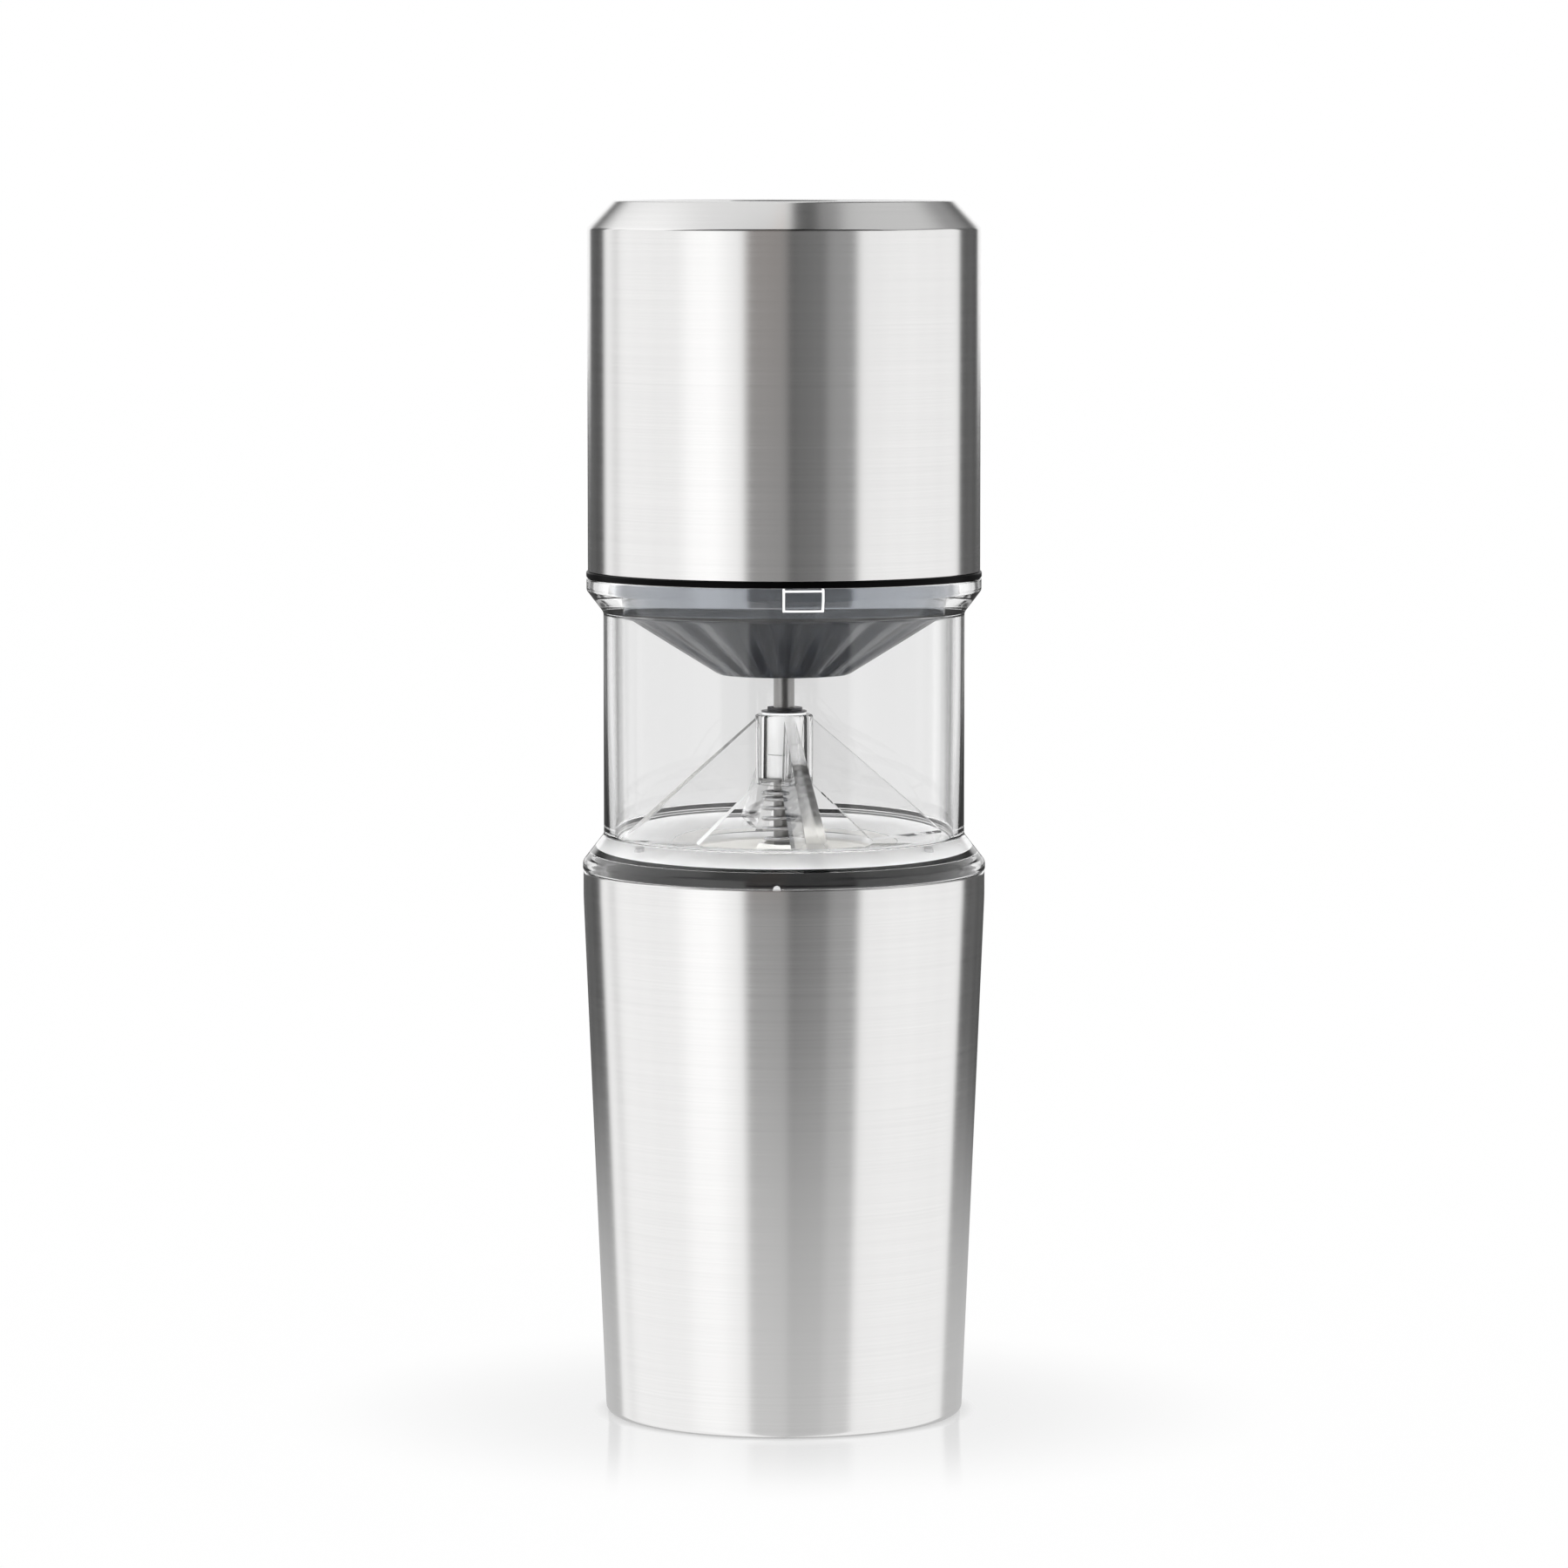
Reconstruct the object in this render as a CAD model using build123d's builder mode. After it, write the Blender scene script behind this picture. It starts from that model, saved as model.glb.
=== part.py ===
from build123d import *
from math import atan, ceil, cos, degrees, pi, radians, sin, sqrt, tan
import os

# Battery burr grinder in millimetres, +Z up, front towards -Y, origin under the cup.
# The stack is read upwards: steel cup, clear hopper with the burr set, motor head.

os.makedirs("parts", exist_ok=True)

# Fits used all over the grinder
glued_gap = 0.02  # parts pressed or glued into one another
running_gap = 0.05  # shafts and gears turning in their bores
sliding_gap = 0.12  # keyed parts that slide along a shaft or guide
lift_gap = 0.2  # parts that lift out by hand

# Grounds cup
cup_height = 103.9
rim_radius = 38.2
base_radius = 34.0
rim_band = 5.0
cup_wall = 1.2
cup_floor = 1.6
base_rounding = 2.5
rim_rounding = 0.45
foot_ring_width = 3.2
foot_recess = 0.5

# Clear hopper
foot_overhang = 0.1
foot_band = 1.7
foot_wall = 1.7
shoulder_width = 4.0
shoulder_height = 5.2
neck_length = 42.3
neck_wall = 1.7
flare_width = 3.2
flare_height = 4.2
flange_band = 2.4
ledge_rise = 0.4
ledge_width = 0.8
carrier_rise = 0.9
floor_thickness = 1.6
floor_fall = 1.4
mouth_radius = 17.0
lug_width = 7.5
lug_height = 3.5
lug_depth = 1.1
lug_drop = 0.5
lug_count = 3
lug_azimuth = 6.0

# White half-round mark at the foot's lower edge
mark_radius = 0.7
mark_azimuth = -2.0
mark_depth = 0.6
mark_proud = 0.15

# Hub and webs that carry the shaft in the hopper
hub_radius = 5.5
hub_length = 13.8
hub_lift = 11.5
hub_bore = 3.3
spring_pocket_radius = 4.75
spring_pocket_depth = 1.4
web_count = 4
web_azimuth = 12.0
web_thickness = 2.6
web_foot_radius = 31.0
web_tip = 0.4

# Shaft and its small parts
shaft_radius = 2.0
shaft_flat = 1.55
shaft_tail = 2.4
shaft_neck_radius = 1.6
bush_flange_radius = 4.7
bush_flange = 0.7
bush_length = 6.0
clip_radius = 3.5
clip_thickness = 0.6
clip_eye = 0.45
washer_thickness = 0.6

# Burr set
carrier_plate = 2.0
plug_land = 3.2
plate_rabbet = 1.0
plate_lap = 1.6
rib_inset = 1.0
plug_wall = 2.2
carrier_skirt = 8.6
carrier_rib_count = 9
carrier_rib = 1.6
socket_wall = 2.0
burr_radius = 22.0
burr_height = 13.4
throat_radius = 13.2
throat_depth = 7.4
grind_slope = 0.76
grind_gap = 0.55
burr_hub_radius = 5.0
burr_hub_rise = 1.4
burr_shoulder_radius = 6.5
burr_shoulder_drop = 3.4
outer_tooth_count = 24
inner_tooth_count = 24
tooth_depth = 0.9
breaker_count = 6
breaker_depth = 1.9
tooth_skew = 24.0
carrier_screw_count = 3
carrier_screw_ring = 28.6
carrier_screw_azimuth = 60.0
cup_seal_height = 1.8
cup_seal_depth = 0.8

# Grind setting under the burr
detent_radius = 8.5
detent_thickness = 0.8
detent_count = 12
nut_radius = 11.5
nut_thickness = 4.0
nut_lobes = 10
scallop_radius = 2.6

# Burr spring, whose turns show through the hopper
wire_radius = 0.4
coil_radius = 3.05
coil_top_radius = 4.25
coil_pitch = 2.2
coil_top_pitch = 1.3
coil_seat_depth = 1.9

# Motor base with the ribbed cone
head_seal_height = 0.8
spigot_gap = 0.2
ring_overhang = 0.05
ring_height = 1.2
cone_tip_radius = 12.4
cone_drop = 12.6
cone_inset = 0.4
cone_rib_count = 16
cone_groove_depth = 0.7
cone_tip_rounding = 1.6
collar_height = 6.0
collar_wall = 2.0
base_floor = 2.4
well_radius = 17.6
lip_seal_radius = 6.0
lip_seal_height = 2.4
base_skin = 1.2

# Steel motor housing
ring_reveal = 0.3
housing_height = 64.9
chamfer_width = 4.9
chamfer_height = 5.1
housing_wall = 0.9
housing_top = 1.2
shoulder_rounding = 0.8

# Planetary gearbox
gear_module = 0.6
sun_teeth = 12
planet_teeth = 18
planet_count = 3
tooth_backlash = 0.14
pressure_angle = 20.0
gear_width = 4.6
planet_pin_radius = 1.0
output_plate_radius = 12.9
output_plate = 1.8
sleeve_radius = 4.0
socket_depth = 6.0
gearcase_floor = 1.8
gearcase_radius = 17.2
gearcase_flange_radius = 22.5
gearcase_flange = 2.0
motor_plate = 1.6
gear_screw_ring = 20.0

# Motor, cells and electronics
motor_radius = 13.9
motor_length = 38.0
motor_shaft_radius = 1.0
motor_boss_radius = 3.0
endcap_height = 3.0
endcap_inset = 2.0
can_wall = 2.4
can_floor = 4.6
armature_gap = 0.5
armature_room = 18.0
armature_slots = 5
winding_radius = 8.4
winding_height = 3.2
commutator_radius = 3.4
commutator_height = 3.0
cell_radius = 7.1
cell_length = 50.0
cell_ring = 24.9
cell_count = 3
contact_thickness = 0.8
tray_thickness = 1.6
tray_pocket = 0.6
post_inner = 22.6
post_outer = 28.4
post_width = 6.0
board_radius = 30.0
board_thickness = 1.6
switch_size = 6.0
switch_height = 3.2
switch_plunger = 0.9
board_drop = 11.1

# Power button in the top
button_radius = 10.1
button_travel = 0.8
button_cap = 2.2
button_flange = 0.8
button_flange_width = 1.2
button_stem_radius = 2.2
bezel_width = 2.2
bezel_skirt = 3.4
button_dish = 0.5
button_coil_radius = 7.2
button_wire_radius = 0.35

# Charging socket and its cover at the back
port_drop = 44.0
port_width = 13.0
port_height = 7.0
port_rounding = 2.2
jack_width = 9.4
jack_height = 4.0
jack_mouth_width = 8.3
jack_mouth_height = 2.5
jack_depth = 6.0
flap_plug = 0.9

# Heights and radii that follow from the sizes above
foot_radius = rim_radius + foot_overhang
neck_radius = foot_radius - shoulder_width
neck_bore = neck_radius - neck_wall
flange_radius = neck_radius + flare_width
flange_bore = neck_bore + ledge_width
foot_top = cup_height + foot_band
neck_base = foot_top + shoulder_height
neck_top = neck_base + neck_length
ledge = neck_top + ledge_rise
hopper_top = neck_top + flare_height + flange_band
carrier_top = foot_top + carrier_rise
floor_top = carrier_top + floor_thickness
hub_bottom = floor_top + hub_lift
hub_top = hub_bottom + hub_length
burr_bottom = carrier_top - burr_height
throat = carrier_top - throat_depth
gap_across = grind_gap / cos(atan(grind_slope))
inner_top = carrier_top + burr_hub_rise
inner_bottom = burr_bottom + 0.4
detent_bottom = inner_bottom - detent_thickness
nut_top = detent_bottom - running_gap
shaft_bottom = nut_top - nut_thickness - shaft_tail
ring_top = hopper_top + ring_height
ring_radius = flange_radius + ring_overhang
housing_radius = ring_radius - ring_reveal
housing_bore = housing_radius - housing_wall
housing_shoulder = ring_top + housing_height
head_top = housing_shoulder + chamfer_height
spigot_bottom = ledge + head_seal_height
cone_top_radius = neck_bore - cone_inset
cone_top = ledge + ledge_rise
cone_tip = cone_top - cone_drop
cone_slope = cone_drop / (cone_top_radius - cone_tip_radius)
ring_teeth = sun_teeth + 2 * planet_teeth
sun_pitch = gear_module * sun_teeth / 2
planet_pitch = gear_module * planet_teeth / 2
ring_pitch = gear_module * ring_teeth / 2
planet_orbit = sun_pitch + planet_pitch
base_floor_top = ring_top - base_floor
gearcase_top = base_floor_top + gearcase_flange
planet_top = gearcase_top - running_gap - 1.4
planet_bottom = planet_top - gear_width
plate_top = planet_bottom - running_gap
plate_bottom = plate_top - output_plate
gearcase_bottom = plate_bottom - running_gap - gearcase_floor
seal_floor = cone_tip + base_skin
sleeve_bottom = seal_floor + lip_seal_height + lift_gap
motor_bottom = gearcase_top + motor_plate
motor_top = motor_bottom + motor_length
tray_top = motor_bottom + tray_thickness
cell_bottom = tray_top - tray_pocket
cell_top = cell_bottom + cell_length
top_tray = cell_top + contact_thickness
board_bottom = head_top - board_drop
board_top = board_bottom + board_thickness
button_top = head_top - 0.1
flange_top = button_top - button_cap
flange_bottom = flange_top - button_flange
stem_bottom = board_top + switch_height + switch_plunger + button_travel + running_gap
port_centre = head_top - port_drop
shaft_top = sleeve_bottom + socket_depth - lift_gap


def profile(*corners):
    """Closed outline in the XZ plane from (radius, height) or (radius, height, rounding)."""
    with BuildSketch(Plane.XZ) as outline:
        with BuildLine():
            points = [(corner[0], corner[1]) for corner in corners]
            roundings = [corner[2] if len(corner) > 2 else 0.0 for corner in corners]
            FilletPolyline(*points, radius=roundings, close=True)
        make_face()
    return outline.sketch


def band(inner, outer, bottom, top):
    """Outline of a plain ring, turned about Z."""
    return profile((inner, bottom), (outer, bottom), (outer, top), (inner, top))


def direction(azimuth):
    """Level unit vector, with azimuth counted from the front towards +X."""
    return Vector(sin(radians(azimuth)), -cos(radians(azimuth)), 0)


def upright(azimuth, height=0.0):
    """Plane through the axis: local x runs outwards at the azimuth and local y runs up."""
    outwards = direction(azimuth)
    return Plane(
        origin=(0, 0, height),
        x_dir=outwards,
        z_dir=(outwards.Y, -outwards.X, 0),
    )


def facing(azimuth, distance, height):
    """Plane that faces outwards at the azimuth, with local y up."""
    outwards = direction(azimuth)
    origin = outwards * distance + Vector(0, 0, height)
    return Plane(origin=origin, x_dir=(-outwards.Y, outwards.X, 0), z_dir=outwards)


def flute_planes(count, radius, height, slope_angle, skew):
    """Planes square to skewed flutes that run down a cone, local y out of its surface."""
    planes = []
    for index in range(count):
        outwards = direction(360 * index / count)
        across = Vector(-outwards.Y, outwards.X, 0)
        up = Vector(0, 0, 1)
        along = outwards * sin(slope_angle) - up * cos(slope_angle)
        out = outwards * cos(slope_angle) + up * sin(slope_angle)
        run = along * cos(skew) + across * sin(skew)
        origin = outwards * radius + up * height
        planes.append(Plane(origin=origin, x_dir=out.cross(run), z_dir=run))
    return planes


def flat_sided(radius, flat, gap):
    """Round section with two flats, for a shaft or for its keyed hole."""
    with BuildSketch() as section:
        Circle(radius + gap)
        Rectangle(2 * (radius + gap), 2 * (flat + gap), mode=Mode.INTERSECT)
    return section.sketch


def gear_section(teeth, thinning, tip, root, turn):
    """Involute gear outline with radial roots; thinning narrows each tooth at the pitch line."""
    pitch_radius = gear_module * teeth / 2
    base = pitch_radius * cos(radians(pressure_angle))
    pressure = radians(pressure_angle)
    half_tooth = (pi * gear_module / 2 - thinning) / (2 * pitch_radius)
    flank_start = max(base, root)

    def half_angle(radius):
        """Half of a tooth's angle where its flank meets the radius."""
        local = sqrt(max(radius * radius / (base * base) - 1, 0))
        return half_tooth + tan(pressure) - pressure - (local - atan(local))

    radii = [flank_start, (flank_start + pitch_radius) / 2, pitch_radius, tip]
    flank = [(radius, half_angle(radius)) for radius in radii]
    if root < base:
        flank.insert(0, (root, half_angle(base)))
    points = []
    for index in range(teeth):
        centre = radians(turn) + 2 * pi * index / teeth
        points += [(r * cos(centre - a), r * sin(centre - a)) for r, a in flank]
        points += [(r * cos(centre + a), r * sin(centre + a)) for r, a in reversed(flank)]
    with BuildSketch() as section:
        Polygon(*points, align=None)
    return section.sketch


def biarc(start, start_tangent, end, end_tangent):
    """Joins two points and directions by two arcs that meet smoothly."""
    span = end - start
    both = start_tangent + end_tangent
    spread = 1 - start_tangent.dot(end_tangent)
    forward = span.dot(both)
    reach = (sqrt(forward**2 + 2 * spread * span.dot(span)) - forward) / (2 * spread)
    middle = (start + end + (start_tangent - end_tangent) * reach) * 0.5
    heading = (end - end_tangent * reach) - (start + start_tangent * reach)
    TangentArc(start, middle, tangent=start_tangent)
    TangentArc(middle, end, tangent=heading.normalized())


def spring_path(seat, top, wire, pitches, radii):
    """Centre line of a compression spring whose ends bend upright and run one wire wide.

    pitches and radii are functions of the share of the winding that is done.
    """
    lead = 2 * wire
    wound = top - seat - 4 * lead
    levels = [0.0]
    while levels[-1] < wound:
        levels.append(levels[-1] + pitches(levels[-1] / wound) / 4)
    levels = [level * wound / levels[-1] for level in levels]
    spots = []
    headings = []
    for index, level in enumerate(levels):
        angle = pi / 2 * index
        radius = radii(level / wound)
        lower = levels[max(index - 1, 0)]
        upper = levels[min(index + 1, len(levels) - 1)]
        quarters = 2 if 0 < index < len(levels) - 1 else 1
        climb = (upper - lower) / quarters
        out = Vector(cos(angle), sin(angle), 0)
        along = Vector(-sin(angle), cos(angle), 0)
        spots.append(out * radius + Vector(0, 0, seat + 2 * lead + level))
        headings.append((along * radius * pi / 2 + Vector(0, 0, climb)).normalized())
    first_back = lead / radii(0)
    last_on = pi / 2 * (len(levels) - 1) + lead / radii(1)
    start = Vector(radii(0) * cos(first_back), -radii(0) * sin(first_back), seat + lead)
    finish = Vector(radii(1) * cos(last_on), radii(1) * sin(last_on), top - lead)
    up = Vector(0, 0, 1)
    spots = [start] + spots + [finish]
    headings = [up] + headings + [up]
    with BuildLine() as path:
        Line(start - up * lead, start)
        for index in range(len(spots) - 1):
            biarc(spots[index], headings[index], spots[index + 1], headings[index + 1])
        Line(finish, finish + up * lead)
    return path


def least_gap(path, wire, samples):
    """Least clear distance between turns of a wire that are not neighbours on it."""
    line = path.wire()
    points = [line.position_at(index / samples) for index in range(samples + 1)]
    skip = ceil(6 * wire / (line.length / samples))
    nearest = 1e9
    for index, point in enumerate(points):
        for other in points[index + skip :]:
            nearest = min(nearest, (point - other).length)
    return nearest - 2 * wire


# Grounds cup: drawn steel, standing on a narrow ring
with BuildPart() as grounds_cup:
    revolve(
        profile(
            (0, foot_recess),
            (base_radius - base_rounding - foot_ring_width, foot_recess),
            (base_radius - base_rounding - foot_ring_width + foot_recess, 0),
            (base_radius, 0, base_rounding),
            (rim_radius, cup_height - rim_band),
            (rim_radius, cup_height, rim_rounding),
            (rim_radius - cup_wall, cup_height, rim_rounding * 0.5),
            (rim_radius - cup_wall, cup_height - rim_band),
            (base_radius - cup_wall, cup_floor, base_rounding),
            (0, cup_floor),
        ),
        axis=Axis.Z,
    )
grounds_cup.part.label = "grounds_cup"
export_step(grounds_cup.part, "parts/grounds_cup.step")

# Clear hopper: foot, shoulder, neck, flange and floor turned in one, then the lugs
foot_bore = foot_radius - foot_wall
shoulder_run = shoulder_width / shoulder_height
carrier_edge = foot_bore - (carrier_top - foot_top + foot_band * 0.2) * shoulder_run
with BuildPart() as bean_hopper:
    revolve(
        profile(
            (foot_bore, cup_height),
            (foot_radius, cup_height, 0.5),
            (foot_radius, foot_top, 1.4),
            (neck_radius, neck_base, 1.2),
            (neck_radius, neck_top, 1.6),
            (flange_radius, neck_top + flare_height, 1.0),
            (flange_radius, hopper_top, 0.4),
            (flange_bore, hopper_top),
            (flange_bore, ledge),
            (neck_bore, ledge),
            (neck_bore, floor_top + floor_fall, 1.0),
            (mouth_radius, floor_top),
            (mouth_radius, carrier_top),
            (carrier_edge, carrier_top),
            (foot_bore, foot_top - foot_band * 0.2),
        ),
        axis=Axis.Z,
    )
    for index in range(lug_count):
        plane = facing(lug_azimuth + 360 * index / lug_count, flange_bore - lug_depth, 0)
        with BuildSketch(plane):
            with Locations((0, hopper_top - lug_drop - lug_height / 2)):
                Rectangle(lug_width, lug_height)
        extrude(amount=lug_depth + ledge_width)
    for index in range(carrier_screw_count):
        with BuildSketch(Plane.XY.offset(carrier_top)):
            spot = direction(carrier_screw_azimuth + 360 * index / carrier_screw_count) * carrier_screw_ring
            with Locations((spot.X, spot.Y)):
                Circle(1.0 + glued_gap)
        extrude(amount=floor_thickness * 0.6, mode=Mode.SUBTRACT)
    with BuildSketch(facing(mark_azimuth, foot_radius - mark_depth, cup_height)):
        Circle(mark_radius + glued_gap)
    extrude(amount=2 * mark_depth, mode=Mode.SUBTRACT)
bean_hopper.part.label = "bean_hopper"
export_step(bean_hopper.part, "parts/bean_hopper.step")

# Clear spider bonded to the floor: the hub that carries the shaft and its four webs
floor_slope = floor_fall / (neck_bore - mouth_radius)
web_start = mouth_radius + 0.3
web_start_height = floor_top + (web_start - mouth_radius) * floor_slope + glued_gap
web_foot_height = floor_top + (web_foot_radius - mouth_radius) * floor_slope + glued_gap
hub_skin = (hub_radius + spring_pocket_radius) / 2
with BuildPart() as shaft_spider:
    revolve(
        profile(
            (spring_pocket_radius, hub_bottom),
            (hub_radius, hub_bottom, 0.25),
            (hub_radius, hub_top, 0.5),
            (hub_bore, hub_top),
            (hub_bore, hub_bottom + spring_pocket_depth),
            (spring_pocket_radius, hub_bottom + spring_pocket_depth),
        ),
        axis=Axis.Z,
    )
    for index in range(web_count):
        with BuildSketch(upright(web_azimuth + 360 * index / web_count)):
            Polygon(
                (hub_skin, hub_top - 0.6),
                (web_foot_radius, web_foot_height + web_tip),
                (web_foot_radius, web_foot_height),
                (web_start, web_start_height),
                (hub_skin, hub_bottom + 0.2),
                align=None,
            )
        extrude(amount=web_thickness / 2, both=True)
shaft_spider.part.label = "shaft_spider"
export_step(shaft_spider.part, "parts/shaft_spider.step")

# White mark that shows how the hopper sits on the cup
with BuildPart() as joint_mark:
    with BuildSketch(facing(mark_azimuth, foot_radius - mark_depth, cup_height)):
        Circle(mark_radius)
        with Locations((0, -mark_radius)):
            Rectangle(4 * mark_radius, 2 * mark_radius, mode=Mode.SUBTRACT)
    extrude(amount=mark_depth + mark_proud)
joint_mark.part.label = "joint_mark"
export_step(joint_mark.part, "parts/joint_mark.step")

# Flat silicone seal on the hopper's ledge
with BuildPart() as head_seal:
    revolve(
        band(neck_bore + 0.05, flange_bore - glued_gap, ledge, spigot_bottom), axis=Axis.Z
    )
head_seal.part.label = "head_seal"
export_step(head_seal.part, "parts/head_seal.step")

# Two bushes that guide the shaft in the hub
with BuildPart() as upper_bush:
    revolve(
        profile(
            (shaft_radius + running_gap, hub_top - bush_length),
            (hub_bore - glued_gap, hub_top - bush_length),
            (hub_bore - glued_gap, hub_top),
            (bush_flange_radius, hub_top),
            (bush_flange_radius, hub_top + bush_flange, 0.2),
            (shaft_radius + running_gap, hub_top + bush_flange),
        ),
        axis=Axis.Z,
    )
upper_bush.part.label = "upper_bush"
export_step(upper_bush.part, "parts/upper_bush.step")

pocket_top = hub_bottom + spring_pocket_depth
with BuildPart() as lower_bush:
    revolve(
        band(
            shaft_radius + running_gap,
            hub_bore - glued_gap,
            pocket_top,
            pocket_top + bush_length * 0.75,
        ),
        axis=Axis.Z,
    )
lower_bush.part.label = "lower_bush"
export_step(lower_bush.part, "parts/lower_bush.step")

# Pale burr carrier: plate under the clear floor, socket for the ring burr and its ribs
socket_radius = burr_radius + glued_gap
socket_outside = socket_radius + socket_wall
plug_radius = foot_bore - lift_gap
plate_radius = plug_radius - plug_land
lap_radius = plate_radius - plate_lap
rib_reach = lap_radius - rib_inset
with BuildPart() as burr_carrier:
    revolve(
        profile(
            (socket_radius, carrier_top),
            (socket_radius, burr_bottom),
            (socket_outside, burr_bottom, 0.4),
            (socket_outside, carrier_top - carrier_plate, 0.6),
            (lap_radius, carrier_top - carrier_plate),
            (lap_radius, carrier_top - plate_rabbet),
            (plate_radius, carrier_top - plate_rabbet),
            (plate_radius, carrier_top),
        ),
        axis=Axis.Z,
    )
    for index in range(carrier_rib_count):
        azimuth = carrier_screw_azimuth + 360 * (index + 0.5) / carrier_rib_count
        with BuildSketch(upright(azimuth)):
            Polygon(
                (socket_radius + socket_wall / 2, carrier_top - carrier_plate / 2),
                (rib_reach, carrier_top - carrier_plate / 2),
                (rib_reach, carrier_top - carrier_plate - carrier_rib),
                (socket_radius + socket_wall / 2, burr_bottom + socket_wall),
                align=None,
            )
        extrude(amount=carrier_rib / 2, both=True)
    for index in range(carrier_screw_count):
        azimuth = carrier_screw_azimuth + 360 * index / carrier_screw_count
        spot = direction(azimuth) * carrier_screw_ring
        with BuildSketch(Plane.XY.offset(carrier_top)):
            with Locations((spot.X, spot.Y)):
                Circle(1.3)
        extrude(amount=-2 * carrier_plate, mode=Mode.SUBTRACT)
burr_carrier.part.label = "burr_carrier"
export_step(burr_carrier.part, "parts/burr_carrier.step")

# Black plug ring bonded round the carrier, with a groove for the cup seal
skirt_bottom = cup_height - carrier_skirt
plug_shoulder = foot_top - foot_band * 0.2 - lift_gap
seal_top = cup_height - carrier_skirt / 2 + cup_seal_height / 2
seal_bottom = seal_top - cup_seal_height
with BuildPart() as plug_ring:
    revolve(
        profile(
            (plate_radius + glued_gap, carrier_top),
            (plate_radius + glued_gap, carrier_top - plate_rabbet - glued_gap),
            (lap_radius + glued_gap, carrier_top - plate_rabbet - glued_gap),
            (lap_radius + glued_gap, carrier_top - carrier_plate),
            (plug_radius - plug_wall, carrier_top - carrier_plate, 0.5),
            (plug_radius - plug_wall, skirt_bottom),
            (plug_radius, skirt_bottom, 0.6),
            (plug_radius, seal_bottom),
            (plug_radius - cup_seal_depth, seal_bottom),
            (plug_radius - cup_seal_depth, seal_top),
            (plug_radius, seal_top),
            (plug_radius, plug_shoulder),
            (carrier_edge - lift_gap, carrier_top),
        ),
        axis=Axis.Z,
    )
plug_ring.part.label = "plug_ring"
export_step(plug_ring.part, "parts/plug_ring.step")

# Screws that hold the carrier to the hopper floor, heads down
with BuildPart() as carrier_screws:
    for index in range(carrier_screw_count):
        spot = direction(carrier_screw_azimuth + 360 * index / carrier_screw_count) * carrier_screw_ring
        plane = Plane(
            origin=(spot.X, spot.Y, carrier_top - carrier_plate),
            x_dir=(1, 0, 0),
            z_dir=(0, 0, -1),
        )
        length = carrier_plate + floor_thickness * 0.5
        with BuildSketch(plane):
            Circle(1.0)
        extrude(amount=-length)
        with BuildSketch(plane):
            Circle(2.1)
        extrude(amount=1.2)
carrier_screws.part.label = "carrier_screws"
export_step(carrier_screws.part, "parts/carrier_screws.step")

# Silicone ring that grips the cup's mouth
cup_bore = rim_radius - cup_wall
with BuildPart() as cup_seal:
    revolve(
        profile(
            (plug_radius - cup_seal_depth + glued_gap, seal_bottom + glued_gap),
            (plug_radius - 0.2, seal_bottom + glued_gap),
            (cup_bore - running_gap, (seal_bottom + seal_top) / 2 - 0.3),
            (cup_bore - running_gap, (seal_bottom + seal_top) / 2 + 0.3),
            (plug_radius - 0.2, seal_top - glued_gap),
            (plug_radius - cup_seal_depth + glued_gap, seal_top - glued_gap),
        ),
        axis=Axis.Z,
    )
cup_seal.part.label = "cup_seal"
export_step(cup_seal.part, "parts/cup_seal.step")

# Ceramic ring burr: throat above, teeth inside the widening cone below
exit_radius = throat_radius + (throat - burr_bottom) * grind_slope
cone_angle = atan(grind_slope)
with BuildPart() as outer_burr:
    revolve(
        profile(
            (throat_radius, throat),
            (exit_radius, burr_bottom),
            (burr_radius, burr_bottom, 0.5),
            (burr_radius, carrier_top - running_gap, 0.5),
            (mouth_radius, carrier_top - running_gap),
        ),
        axis=Axis.Z,
    )
    with BuildSketch(
        *flute_planes(
            outer_tooth_count,
            throat_radius - tooth_depth * 0.4,
            throat + 1.0,
            cone_angle,
            radians(-tooth_skew),
        )
    ):
        Polygon((-0.55, -0.2), (0.0, tooth_depth), (0.55, -0.2), align=None)
    extrude(amount=(throat - burr_bottom) / cos(cone_angle) * 1.4, mode=Mode.SUBTRACT)
outer_burr.part.label = "outer_burr"
export_step(outer_burr.part, "parts/outer_burr.step")

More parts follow.
